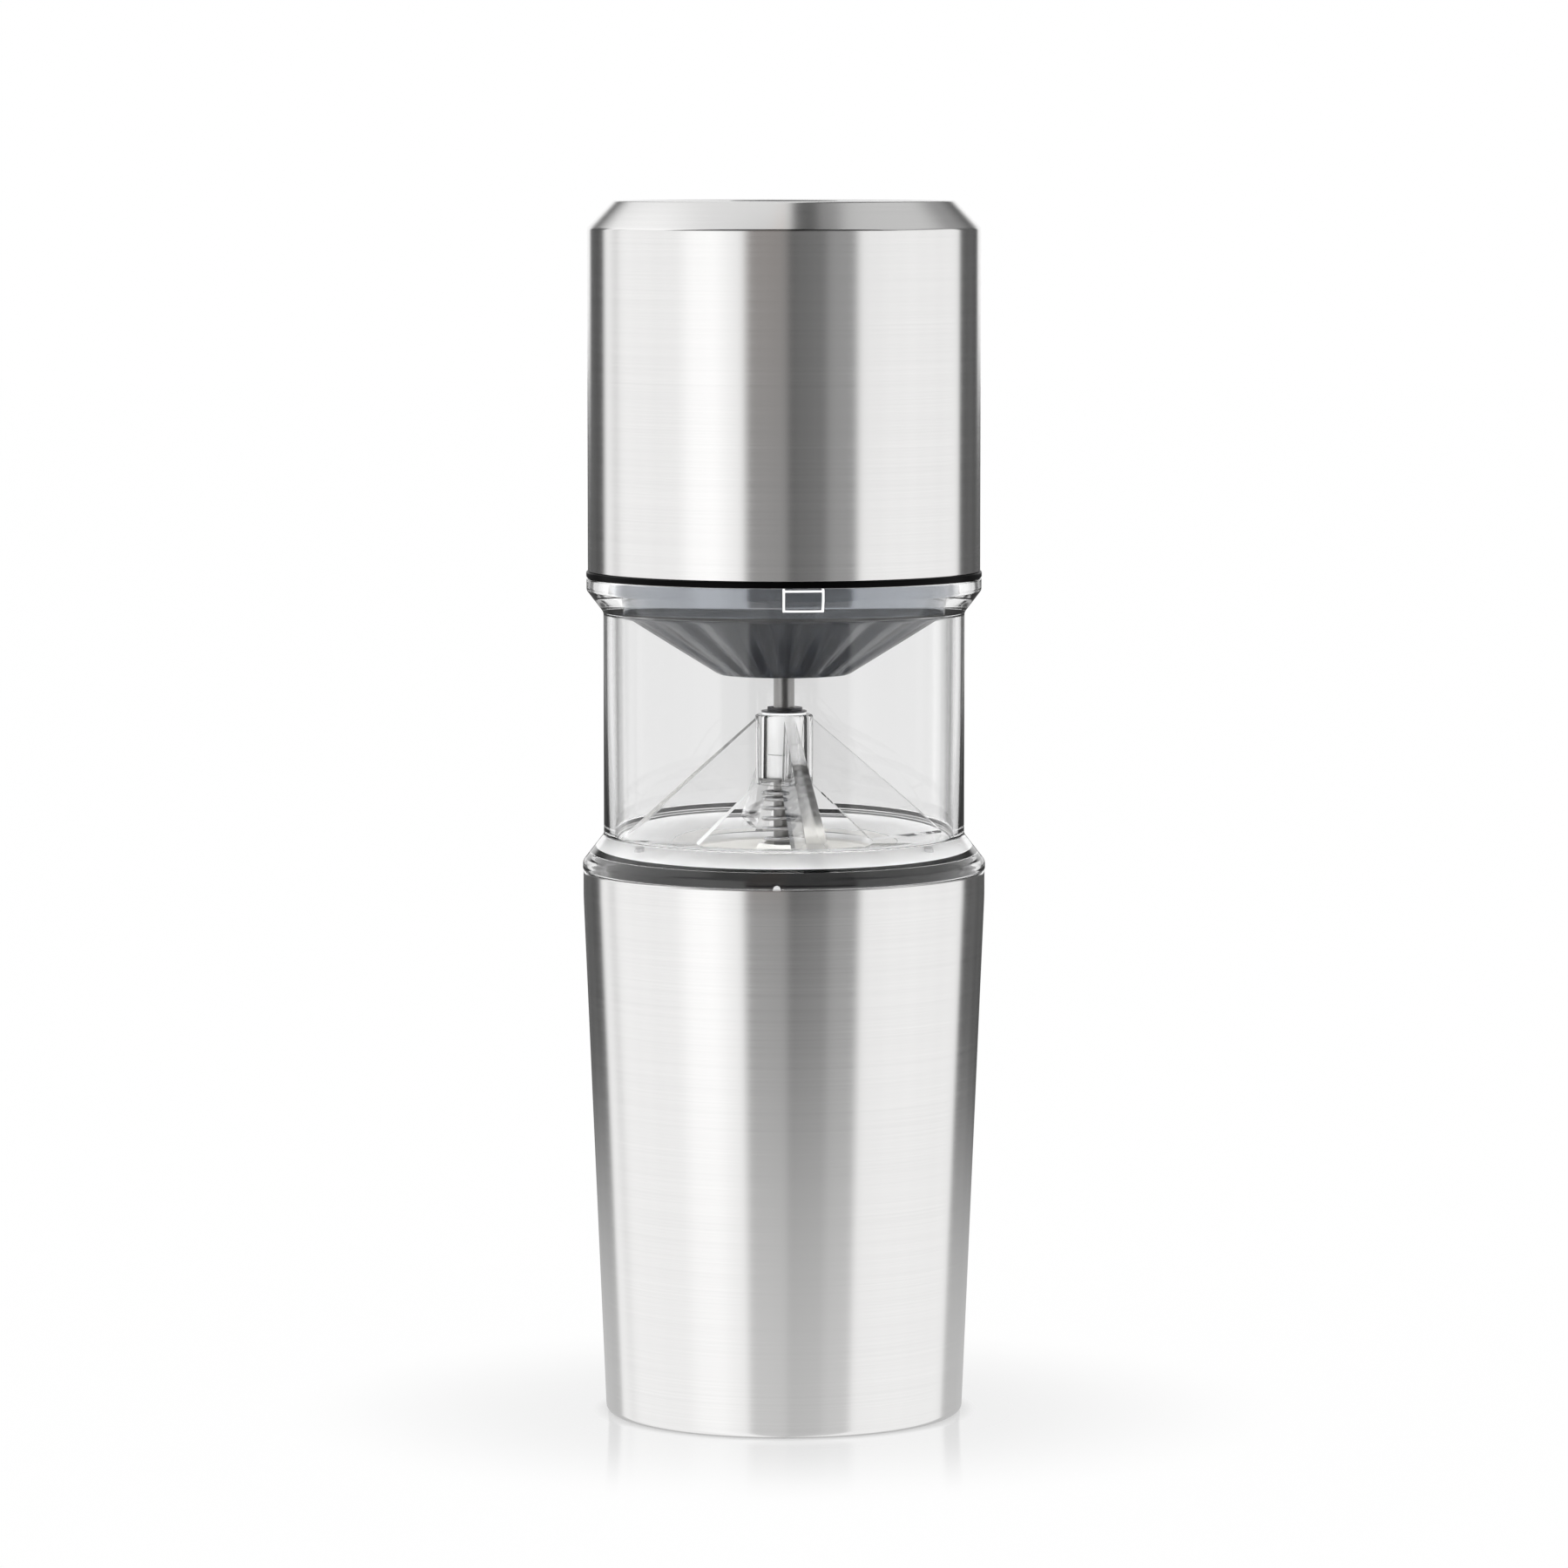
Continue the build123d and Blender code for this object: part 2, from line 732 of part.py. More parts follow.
# Ceramic cone burr: spiral breakers on the shoulder, fine teeth round the skirt
inner_throat = throat_radius - gap_across
inner_exit = exit_radius - gap_across
shoulder_angle = atan(
    (inner_throat - burr_shoulder_radius) / (inner_top - burr_shoulder_drop - throat)
)
seat_floor = inner_top - coil_seat_depth
with BuildPart() as inner_burr:
    revolve(
        profile(
            (0, inner_bottom + 1.5),
            (inner_exit - 3.0, inner_bottom + 1.5),
            (inner_exit - 2.4, inner_bottom),
            (inner_exit, inner_bottom, 0.3),
            (inner_throat, throat),
            (burr_shoulder_radius, inner_top - burr_shoulder_drop),
            (burr_hub_radius, inner_top - 0.4, 0.3),
            (burr_hub_radius - 0.4, inner_top),
            (coil_radius + wire_radius + 0.35, inner_top),
            (coil_radius + wire_radius + 0.35, seat_floor),
            (0, seat_floor),
        ),
        axis=Axis.Z,
    )
    with BuildSketch(
        *flute_planes(
            inner_tooth_count,
            inner_throat - 0.5 * sin(cone_angle),
            throat + 0.9,
            cone_angle,
            radians(tooth_skew),
        )
    ):
        Polygon((-0.6, 0.3), (0.0, -tooth_depth), (0.6, 0.3), align=None)
    extrude(amount=(throat - inner_bottom) / cos(cone_angle) * 1.5, mode=Mode.SUBTRACT)
    with BuildSketch(
        *flute_planes(
            breaker_count,
            burr_hub_radius + 0.6,
            inner_top - 0.2,
            shoulder_angle,
            radians(tooth_skew * 1.3),
        )
    ):
        Polygon((-1.9, 0.9), (0.4, -breaker_depth), (1.5, 0.9), align=None)
    extrude(amount=throat_depth * 1.5, mode=Mode.SUBTRACT)
    with BuildSketch(Plane.XY.offset(inner_bottom)):
        Circle(shaft_radius * 1.6)
    extrude(amount=1.5)
    with BuildSketch(Plane.XY.offset(inner_bottom)):
        add(flat_sided(shaft_radius, shaft_flat, running_gap))
    extrude(amount=throat_depth + burr_height, mode=Mode.SUBTRACT)
inner_burr.part.label = "inner_burr"
export_step(inner_burr.part, "parts/inner_burr.step")

# Keyed plate with a ring of dimples that the nut clicks over
with BuildPart() as detent_plate:
    revolve(band(0, detent_radius, detent_bottom, inner_bottom), axis=Axis.Z)
    with BuildSketch(Plane.XY.offset(detent_bottom)):
        add(flat_sided(shaft_radius, shaft_flat, running_gap))
        with PolarLocations(detent_radius - 1.8, detent_count):
            Circle(0.7)
    extrude(amount=2 * detent_thickness, mode=Mode.SUBTRACT)
detent_plate.part.label = "detent_plate"
export_step(detent_plate.part, "parts/detent_plate.step")

# Star nut that sets the grind, reached when the cup is off
with BuildPart() as adjust_nut:
    revolve(
        profile(
            (shaft_radius + running_gap, nut_top - nut_thickness),
            (nut_radius, nut_top - nut_thickness, 0.8),
            (nut_radius, nut_top - 0.8, 0.6),
            (detent_radius, nut_top - 0.8),
            (detent_radius - 0.6, nut_top),
            (shaft_radius + running_gap, nut_top),
        ),
        axis=Axis.Z,
    )
    with BuildSketch(Plane.XY.offset(nut_top)):
        with PolarLocations(nut_radius + scallop_radius * 0.45, nut_lobes):
            Circle(scallop_radius)
    extrude(amount=-2 * nut_thickness, mode=Mode.SUBTRACT)
adjust_nut.part.label = "adjust_nut"
export_step(adjust_nut.part, "parts/adjust_nut.step")

# Drive shaft: flats for the burr below and for the motor socket above
clip_bottom = hub_top + bush_flange + running_gap
flats_top = seat_floor + 0.8
key_bottom = sleeve_bottom - 0.6
with BuildPart() as drive_shaft:
    revolve(
        profile(
            (0, shaft_bottom),
            (shaft_radius - 0.4, shaft_bottom),
            (shaft_radius, shaft_bottom + 0.4),
            (shaft_radius, clip_bottom - glued_gap),
            (shaft_neck_radius, clip_bottom - glued_gap),
            (shaft_neck_radius, clip_bottom + clip_thickness + glued_gap),
            (shaft_radius, clip_bottom + clip_thickness + glued_gap),
            (shaft_radius, shaft_top - 0.4),
            (shaft_radius - 0.4, shaft_top),
            (0, shaft_top),
        ),
        axis=Axis.Z,
    )
    for bottom, top in ((shaft_bottom - 1, flats_top), (key_bottom, shaft_top + 1)):
        with BuildSketch(Plane.XY.offset(bottom)):
            for side in (-1, 1):
                with Locations((0, side * (shaft_flat + shaft_radius))):
                    Rectangle(4 * shaft_radius, 2 * shaft_radius)
        extrude(amount=top - bottom, mode=Mode.SUBTRACT)
drive_shaft.part.label = "drive_shaft"
export_step(drive_shaft.part, "parts/drive_shaft.step")

# Spring clip that keeps the shaft from dropping through the bush
with BuildPart() as shaft_clip:
    with BuildSketch(Plane.XY.offset(clip_bottom)):
        Circle(clip_radius)
        Circle(shaft_neck_radius + glued_gap, mode=Mode.SUBTRACT)
        with Locations((-clip_radius, 0)):
            Rectangle(2 * clip_radius, 1.9 * shaft_neck_radius, mode=Mode.SUBTRACT)
        with Locations(((clip_radius + shaft_neck_radius) / 2, 0)):
            Circle(clip_eye, mode=Mode.SUBTRACT)
    extrude(amount=clip_thickness)
shaft_clip.part.label = "shaft_clip"
export_step(shaft_clip.part, "parts/shaft_clip.step")

# Thrust washer in the hub's pocket, above the spring
spring_top = pocket_top - running_gap - washer_thickness
with BuildPart() as thrust_washer:
    revolve(
        band(
            shaft_radius + glued_gap,
            spring_pocket_radius - sliding_gap,
            spring_top,
            pocket_top - running_gap,
        ),
        axis=Axis.Z,
    )
thrust_washer.part.label = "thrust_washer"
export_step(thrust_washer.part, "parts/thrust_washer.step")

# Burr spring: even turns below, closer and wider turns under the hub
close_share = 0.78
burr_coil = spring_path(
    seat_floor,
    spring_top,
    wire_radius,
    lambda share: coil_pitch if share < close_share else coil_top_pitch,
    lambda share: coil_radius
    + (coil_top_radius - coil_radius) * max(share - close_share, 0) / (1 - close_share),
)
with BuildPart() as burr_spring:
    with BuildSketch(Plane(origin=burr_coil.wire() @ 0, z_dir=(0, 0, 1))):
        Circle(wire_radius)
    sweep(path=burr_coil.wire())
print("burr spring least gap", round(least_gap(burr_coil, wire_radius, 900), 3))
burr_spring.part.label = "burr_spring"
export_step(burr_spring.part, "parts/burr_spring.step")

# Motor base: ring, spigot with lug slots, ribbed cone below, well for the gearbox
spigot_radius = flange_bore - spigot_gap
collar_radius = housing_bore - glued_gap
well_bottom = gearcase_bottom - glued_gap
with BuildPart() as motor_base:
    revolve(
        profile(
            (shaft_radius + 0.6, cone_tip),
            (cone_tip_radius, cone_tip, cone_tip_rounding),
            (cone_top_radius, cone_top),
            (cone_top_radius, spigot_bottom),
            (spigot_radius, spigot_bottom),
            (spigot_radius, hopper_top),
            (ring_radius, hopper_top, 0.3),
            (ring_radius, ring_top, 0.3),
            (collar_radius, ring_top),
            (collar_radius, ring_top + collar_height, 0.4),
            (collar_radius - collar_wall, ring_top + collar_height),
            (collar_radius - collar_wall, ring_top),
            (gearcase_flange_radius + lift_gap, ring_top),
            (gearcase_flange_radius + lift_gap, base_floor_top),
            (well_radius, base_floor_top),
            (well_radius, well_bottom),
            (lip_seal_radius + glued_gap, well_bottom),
            (lip_seal_radius + glued_gap, seal_floor),
            (shaft_radius + 0.6, seal_floor),
        ),
        axis=Axis.Z,
    )
    for index in range(lug_count):
        plane = facing(lug_azimuth + 360 * index / lug_count, 0, 0)
        with BuildSketch(plane.offset(flange_bore - lug_depth - lift_gap)):
            with Locations((0, (spigot_bottom + hopper_top) / 2)):
                Rectangle(lug_width + 2 * lift_gap, hopper_top - spigot_bottom)
        extrude(amount=lug_depth + 1, mode=Mode.SUBTRACT)
    groove_start = cone_tip_radius + cone_tip_rounding * 0.6
    groove_end = cone_top_radius - cone_inset * 2
    groove_low = cone_tip + (groove_start - cone_tip_radius) * cone_slope
    groove_high = cone_tip + (groove_end - cone_tip_radius) * cone_slope
    for index in range(cone_rib_count):
        azimuth = 360 * (index + 0.5) / cone_rib_count
        with BuildSketch(upright(azimuth)):
            Polygon(
                (groove_start, groove_low - 2 * cone_groove_depth),
                (groove_end, groove_high - 2 * cone_groove_depth),
                (groove_end, groove_high + cone_groove_depth),
                (groove_start, groove_low + cone_groove_depth),
                align=None,
            )
        extrude(amount=1.1, both=True, mode=Mode.SUBTRACT)
    with PolarLocations(gear_screw_ring, 3, start_angle=90):
        with Locations((0, 0, base_floor_top)):
            Hole(1.1, depth=7.0)
motor_base.part.label = "motor_base"
export_step(motor_base.part, "parts/motor_base.step")

# Lip seal that keeps coffee dust out of the gearbox
with BuildPart() as lip_seal:
    revolve(
        profile(
            (shaft_radius + running_gap, seal_floor),
            (lip_seal_radius, seal_floor),
            (lip_seal_radius, seal_floor + lip_seal_height),
            (lip_seal_radius - 1.2, seal_floor + lip_seal_height),
            (lip_seal_radius - 1.2, seal_floor + lip_seal_height * 0.5),
            (shaft_radius + 0.9, seal_floor + lip_seal_height * 0.5),
            (shaft_radius + running_gap, seal_floor + lip_seal_height * 0.3),
        ),
        axis=Axis.Z,
    )
lip_seal.part.label = "lip_seal"
export_step(lip_seal.part, "parts/lip_seal.step")

# Bronze bush for the output sleeve
with BuildPart() as output_bush:
    revolve(
        band(
            sleeve_radius + running_gap,
            lip_seal_radius,
            sleeve_bottom,
            well_bottom - glued_gap,
        ),
        axis=Axis.Z,
    )
output_bush.part.label = "output_bush"
export_step(output_bush.part, "parts/output_bush.step")

# Gearbox case with the internal ring gear
sun_turn = 0.0
planet_azimuths = [90 + 360 * index / planet_count for index in range(planet_count)]


def planet_turn(azimuth):
    """Turn in degrees that puts a planet's tooth space against the sun's tooth."""
    lag = 180 - sun_teeth * (sun_turn - azimuth)
    return azimuth + 180 + lag / planet_teeth


first = planet_azimuths[0]
ring_turn = first + (planet_turn(first) - first) * planet_teeth / ring_teeth
ring_root = ring_pitch + 1.25 * gear_module
with BuildPart() as gearbox_case:
    revolve(
        profile(
            (sleeve_radius + 0.3, gearcase_bottom),
            (gearcase_radius, gearcase_bottom, 0.6),
            (gearcase_radius, base_floor_top),
            (gearcase_flange_radius, base_floor_top),
            (gearcase_flange_radius, gearcase_top, 0.3),
            (ring_root + 0.15, gearcase_top),
            (ring_root + 0.15, plate_bottom - running_gap),
            (sleeve_radius + 0.3, plate_bottom - running_gap),
        ),
        axis=Axis.Z,
    )
    with BuildSketch(Plane.XY.offset(plate_bottom - running_gap)):
        Circle(ring_root + 0.3)
        add(
            gear_section(
                ring_teeth,
                -tooth_backlash,
                ring_root,
                ring_pitch - 0.85 * gear_module,
                ring_turn,
            ),
            mode=Mode.SUBTRACT,
        )
    extrude(amount=gearcase_top - plate_bottom + running_gap)
    with BuildSketch(Plane.XY.offset(gearcase_top)):
        with PolarLocations(gear_screw_ring, 3, start_angle=90):
            Circle(1.4)
    extrude(amount=-2 * gearcase_flange, mode=Mode.SUBTRACT)
gearbox_case.part.label = "gearbox_case"
export_step(gearbox_case.part, "parts/gearbox_case.step")

# Output carrier: sleeve with the keyed socket, plate and planet pins
with BuildPart() as output_carrier:
    revolve(
        profile(
            (0, sleeve_bottom),
            (sleeve_radius, sleeve_bottom),
            (sleeve_radius, plate_bottom),
            (output_plate_radius, plate_bottom, 0.3),
            (output_plate_radius, plate_top, 0.3),
            (0, plate_top),
        ),
        axis=Axis.Z,
    )
    with BuildSketch(Plane.XY.offset(plate_top)):
        with PolarLocations(planet_orbit, planet_count, start_angle=planet_azimuths[0]):
            Circle(planet_pin_radius)
    extrude(amount=gear_width)
    with BuildSketch(Plane.XY.offset(sleeve_bottom)):
        add(flat_sided(shaft_radius, shaft_flat, running_gap))
    extrude(amount=socket_depth, mode=Mode.SUBTRACT)
output_carrier.part.label = "output_carrier"
export_step(output_carrier.part, "parts/output_carrier.step")

# Planet gears
for index, azimuth in enumerate(planet_azimuths):
    centre = (
        planet_orbit * cos(radians(azimuth)),
        planet_orbit * sin(radians(azimuth)),
        planet_bottom,
    )
    with BuildPart() as planet_gear:
        with BuildSketch(Plane(origin=centre)):
            add(
                gear_section(
                    planet_teeth,
                    tooth_backlash,
                    planet_pitch + 0.85 * gear_module,
                    planet_pitch - 1.2 * gear_module,
                    planet_turn(azimuth),
                )
            )
            Circle(planet_pin_radius + running_gap, mode=Mode.SUBTRACT)
        extrude(amount=gear_width)
    planet_gear.part.label = f"planet_gear_{index + 1}"
    export_step(planet_gear.part, f"parts/planet_gear_{index + 1}.step")

# Sun gear
with BuildPart() as sun_gear:
    with BuildSketch(Plane.XY.offset(planet_bottom)):
        add(
            gear_section(
                sun_teeth,
                tooth_backlash,
                sun_pitch + 0.85 * gear_module,
                sun_pitch - 1.2 * gear_module,
                sun_turn,
            )
        )
        Circle(motor_shaft_radius + glued_gap, mode=Mode.SUBTRACT)
    extrude(amount=gear_width)
sun_gear.part.label = "sun_gear"
export_step(sun_gear.part, "parts/sun_gear.step")

# Plate that closes the gearbox and carries the motor
with BuildPart() as motor_mount:
    with BuildSketch(Plane.XY.offset(gearcase_top)):
        Circle(gearcase_flange_radius)
        Circle(motor_boss_radius + glued_gap, mode=Mode.SUBTRACT)
        with PolarLocations(gear_screw_ring, 3, start_angle=90):
            Circle(1.4, mode=Mode.SUBTRACT)
        with PolarLocations(motor_radius * 0.6, 2):
            Circle(1.3, mode=Mode.SUBTRACT)
    extrude(amount=motor_plate)
motor_mount.part.label = "motor_mount"
export_step(motor_mount.part, "parts/motor_mount.step")

# Motor can with its boss and the magnets bonded in it
can_bore = motor_radius - can_wall
can_inside = motor_bottom + can_floor
boss_bottom = motor_bottom - motor_plate * 0.8
shaft_hole = motor_shaft_radius + running_gap
with BuildPart() as motor_can:
    revolve(
        profile(
            (shaft_hole, boss_bottom),
            (motor_boss_radius, boss_bottom),
            (motor_boss_radius, motor_bottom),
            (motor_radius, motor_bottom, 1.0),
            (motor_radius, motor_top, 0.6),
            (can_bore, motor_top),
            (can_bore, can_inside),
            (shaft_hole, can_inside),
        ),
        axis=Axis.Z,
    )
    with BuildSketch(Plane.XY.offset(motor_bottom)):
        with PolarLocations(motor_radius * 0.6, 2):
            Circle(1.0 + glued_gap)
    extrude(amount=4.2, mode=Mode.SUBTRACT)
motor_can.part.label = "motor_can"
export_step(motor_can.part, "parts/motor_can.step")

# Slotted armature with its windings and commutator, pressed on the motor shaft
core_bottom = can_inside + winding_height + lift_gap
armature_length = motor_length - armature_room
core_top = core_bottom + armature_length
commutator_bottom = core_top + winding_height
core_radius = can_bore - armature_gap
with BuildPart() as motor_armature:
    revolve(
        profile(
            (motor_shaft_radius + glued_gap, core_bottom - winding_height),
            (winding_radius, core_bottom - winding_height, 1.2),
            (winding_radius, core_bottom),
            (core_radius, core_bottom),
            (core_radius, core_top),
            (winding_radius, core_top),
            (winding_radius, commutator_bottom, 1.2),
            (commutator_radius, commutator_bottom),
            (commutator_radius, commutator_bottom + commutator_height),
            (motor_shaft_radius + glued_gap, commutator_bottom + commutator_height),
        ),
        axis=Axis.Z,
    )
    with BuildSketch(Plane.XY.offset(core_bottom)):
        with PolarLocations(core_radius, armature_slots):
            Rectangle(2 * (core_radius - winding_radius), 2 * armature_gap)
    extrude(amount=armature_length, mode=Mode.SUBTRACT)
motor_armature.part.label = "motor_armature"
export_step(motor_armature.part, "parts/motor_armature.step")

# End cap let into the can, with the rear bearing and two terminals
shaft_end = motor_top + endcap_height / 2
with BuildPart() as motor_endcap:
    revolve(
        profile(
            (0, shaft_end + lift_gap),
            (shaft_hole, shaft_end + lift_gap),
            (shaft_hole, motor_top - endcap_inset),
            (can_bore - glued_gap, motor_top - endcap_inset),
            (can_bore - glued_gap, motor_top + endcap_height, 0.6),
            (0, motor_top + endcap_height),
        ),
        axis=Axis.Z,
    )
    with BuildSketch(Plane.XY.offset(motor_top + endcap_height)):
        for side in (-1, 1):
            with Locations((side * motor_radius * 0.55, 0)):
                Rectangle(0.5, 2.8)
    extrude(amount=3.5)
motor_endcap.part.label = "motor_endcap"
export_step(motor_endcap.part, "parts/motor_endcap.step")

# Motor shaft from the sun gear to the rear bearing
with BuildPart() as motor_shaft:
    with BuildSketch(Plane.XY.offset(planet_bottom)):
        Circle(motor_shaft_radius)
    extrude(amount=shaft_end - planet_bottom)
motor_shaft.part.label = "motor_shaft"
export_step(motor_shaft.part, "parts/motor_shaft.step")

with BuildPart() as motor_screws:
    for side in (-1, 1):
        plane = Plane(
            origin=(side * motor_radius * 0.6, 0, gearcase_top), z_dir=(0, 0, -1)
        )
        with BuildSketch(plane):
            Circle(1.0)
        extrude(amount=-(motor_plate + 3.5))
        with BuildSketch(plane):
            Circle(1.9)
        extrude(amount=0.9)
motor_screws.part.label = "motor_screws"
export_step(motor_screws.part, "parts/motor_screws.step")

# Long screws through tray, motor plate and gearbox flange into the base
with BuildPart() as gearbox_screws:
    for index in range(3):
        angle = radians(90 + 120 * index)
        spot = (gear_screw_ring * cos(angle), gear_screw_ring * sin(angle), tray_top)
        with BuildSketch(Plane(origin=spot)):
            Circle(1.08)
        extrude(amount=base_floor_top - 6.0 - tray_top)
        with BuildSketch(Plane(origin=spot)):
            Circle(2.1)
        extrude(amount=1.4)
gearbox_screws.part.label = "gearbox_screws"
export_step(gearbox_screws.part, "parts/gearbox_screws.step")

# Battery frame: tray, three posts and a top ring in one moulding
with BuildPart() as battery_frame:
    with BuildSketch(Plane.XY.offset(motor_bottom)):
        Circle(collar_radius - collar_wall - lift_gap)
        Circle(motor_radius + lift_gap, mode=Mode.SUBTRACT)
    extrude(amount=tray_thickness)
    for index in range(3):
        angle = radians(90 + 120 * index)
        with BuildSketch(Plane.XY.offset(motor_bottom)):
            with Locations(((post_inner + post_outer) / 2 * cos(angle),
                            (post_inner + post_outer) / 2 * sin(angle))):
                Rectangle(
                    post_outer - post_inner, post_width, rotation=degrees(angle)
                )
        extrude(amount=board_bottom - motor_bottom)
    with BuildSketch(Plane.XY.offset(top_tray)):
        Circle(cell_ring + cell_radius)
        Circle(motor_radius + 2.5, mode=Mode.SUBTRACT)
    extrude(amount=tray_thickness)
    with BuildSketch(Plane.XY.offset(cell_bottom)):
        with PolarLocations(cell_ring, cell_count, start_angle=30):
            Circle(cell_radius + lift_gap)
    extrude(amount=cell_length, mode=Mode.SUBTRACT)
    with BuildSketch(Plane.XY.offset(tray_top)):
        with PolarLocations(gear_screw_ring, 3, start_angle=90):
            Circle(1.4)
    extrude(amount=-2 * tray_thickness, mode=Mode.SUBTRACT)
    with BuildSketch(Plane.XY.offset(board_bottom)):
        with PolarLocations((post_inner + post_outer) / 2, 3, start_angle=90):
            Circle(0.8 + glued_gap)
    extrude(amount=-6.5, mode=Mode.SUBTRACT)
battery_frame.part.label = "battery_frame"
export_step(battery_frame.part, "parts/battery_frame.step")

with BuildPart() as battery_cells:
    for index in range(cell_count):
        angle = radians(30 + 360 * index / cell_count)
        spot = (cell_ring * cos(angle), cell_ring * sin(angle), cell_bottom)
        with BuildSketch(Plane(origin=spot)):
            Circle(cell_radius)
        extrude(amount=cell_length - 1.0)
        with BuildSketch(Plane(origin=spot)):
            Circle(cell_radius * 0.4)
        extrude(amount=cell_length)
battery_cells.part.label = "battery_cells"
export_step(battery_cells.part, "parts/battery_cells.step")

with BuildPart() as cell_contacts:
    with BuildSketch(Plane.XY.offset(cell_top)):
        with PolarLocations(cell_ring, cell_count, start_angle=30):
            Circle(cell_radius * 0.6)
    extrude(amount=contact_thickness)
cell_contacts.part.label = "cell_contacts"
export_step(cell_contacts.part, "parts/cell_contacts.step")

# Control board with its screws and the switch under the button
with BuildPart() as control_board:
    with BuildSketch(Plane.XY.offset(board_bottom)):
        Circle(board_radius)
        with PolarLocations((post_inner + post_outer) / 2, 3, start_angle=90):
            Circle(1.1, mode=Mode.SUBTRACT)
    extrude(amount=board_thickness)
control_board.part.label = "control_board"
export_step(control_board.part, "parts/control_board.step")

with BuildPart() as board_screws:
    for index in range(3):
        angle = radians(90 + 120 * index)
        ring = (post_inner + post_outer) / 2
        spot = (ring * cos(angle), ring * sin(angle), board_top)
        with BuildSketch(Plane(origin=spot)):
            Circle(0.8)
        extrude(amount=-(board_thickness + 5.5))
        with BuildSketch(Plane(origin=spot)):
            Circle(1.8)
        extrude(amount=1.1)
board_screws.part.label = "board_screws"
export_step(board_screws.part, "parts/board_screws.step")

with BuildPart() as button_switch:
    with BuildSketch(Plane.XY.offset(board_top)):
        Rectangle(switch_size, switch_size)
    extrude(amount=switch_height)
    with BuildSketch(Plane.XY.offset(board_top + switch_height)):
        Circle(switch_size * 0.28)
    extrude(amount=switch_plunger)
button_switch.part.label = "button_switch"
export_step(button_switch.part, "parts/button_switch.step")

# Steel housing: drawn shell with a bevelled top and a hole for the button bezel
bezel_radius = button_radius + bezel_width
top_radius = housing_radius - chamfer_width
with BuildPart() as motor_housing:
    revolve(
        profile(
            (housing_bore, ring_top),
            (housing_radius, ring_top, 0.25),
            (housing_radius, housing_shoulder, shoulder_rounding),
            (top_radius, head_top, shoulder_rounding),
            (bezel_radius + glued_gap, head_top),
            (bezel_radius + glued_gap, head_top - housing_top),
            (top_radius - 0.6, head_top - housing_top),
            (housing_bore, housing_shoulder - 0.5),
        ),
        axis=Axis.Z,
    )
    with BuildSketch(facing(180, housing_bore - 2, port_centre)):
        RectangleRounded(port_width, port_height, port_rounding)
    extrude(amount=housing_wall + 4, mode=Mode.SUBTRACT)
motor_housing.part.label = "motor_housing"
export_step(motor_housing.part, "parts/motor_housing.step")

# Black bezel, clipped in from below, that guides the button
bezel_lip = flange_top + 0.1
with BuildPart() as button_bezel:
    revolve(
        profile(
            (button_radius + lift_gap, head_top),
            (button_radius + lift_gap, bezel_lip),
            (button_radius + button_flange_width + lift_gap, bezel_lip),
            (button_radius + button_flange_width + lift_gap, head_top - housing_top - bezel_skirt),
            (bezel_radius + 2.0, head_top - housing_top - bezel_skirt),
            (bezel_radius + 2.0, head_top - housing_top),
            (bezel_radius, head_top - housing_top),
            (bezel_radius, head_top, 0.3),
        ),
        axis=Axis.Z,
    )
button_bezel.part.label = "button_bezel"
export_step(button_bezel.part, "parts/button_bezel.step")

# Power button: dished cap, stop flange and stem over the switch
with BuildPart() as power_button:
    revolve(
        profile(
            (0, stem_bottom),
            (button_stem_radius, stem_bottom),
            (button_stem_radius, flange_bottom),
            (button_radius + button_flange_width, flange_bottom),
            (button_radius + button_flange_width, flange_top),
            (button_radius, flange_top),
            (button_radius, button_top, 0.4),
            (button_radius - 1.0, button_top),
            (button_radius - 3.0, button_top - button_dish),
            (0, button_top - button_dish),
        ),
        axis=Axis.Z,
    )
power_button.part.label = "power_button"
export_step(power_button.part, "parts/power_button.step")

button_coil = spring_path(
    board_top,
    flange_bottom,
    button_wire_radius,
    lambda share: 1.3,
    lambda share: button_coil_radius,
)
with BuildPart() as button_spring:
    with BuildSketch(Plane(origin=button_coil.wire() @ 0, z_dir=(0, 0, 1))):
        Circle(button_wire_radius)
    sweep(path=button_coil.wire())
button_spring.part.label = "button_spring"
export_step(button_spring.part, "parts/button_spring.step")

# Charging socket on the rear post
jack_back = post_outer
with BuildPart() as charge_socket:
    with BuildSketch(facing(180, jack_back, port_centre)):
        RectangleRounded(jack_width, jack_height, 0.9)
    extrude(amount=jack_depth)
    with BuildSketch(facing(180, jack_back + jack_depth, port_centre)):
        RectangleRounded(jack_mouth_width, jack_mouth_height, 1.1)
    extrude(amount=-jack_depth * 0.8, mode=Mode.SUBTRACT)
charge_socket.part.label = "charge_socket"
export_step(charge_socket.part, "parts/charge_socket.step")

# Rubber cover for the socket, hinged at its lower edge
with BuildPart() as port_cover:
    revolve(
        band(
            housing_bore - flap_plug * 0.2,
            housing_radius,
            port_centre - port_height,
            port_centre + port_height,
        ),
        axis=Axis.Z,
    )
    with BuildSketch(facing(180, housing_bore - 3, port_centre)):
        RectangleRounded(
            port_width - 2 * lift_gap, port_height - 2 * lift_gap, port_rounding - lift_gap
        )
    extrude(amount=housing_wall + 6, mode=Mode.INTERSECT)
port_cover.part.label = "port_cover"
export_step(port_cover.part, "parts/port_cover.step")
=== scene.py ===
"""A battery burr grinder on a pale ground: steel motor head, clear hopper, steel cup."""

import logging
from dataclasses import dataclass, field
from enum import Enum
from math import ceil, cos, hypot, pi, radians, sin, tan
from typing import Callable, Sequence

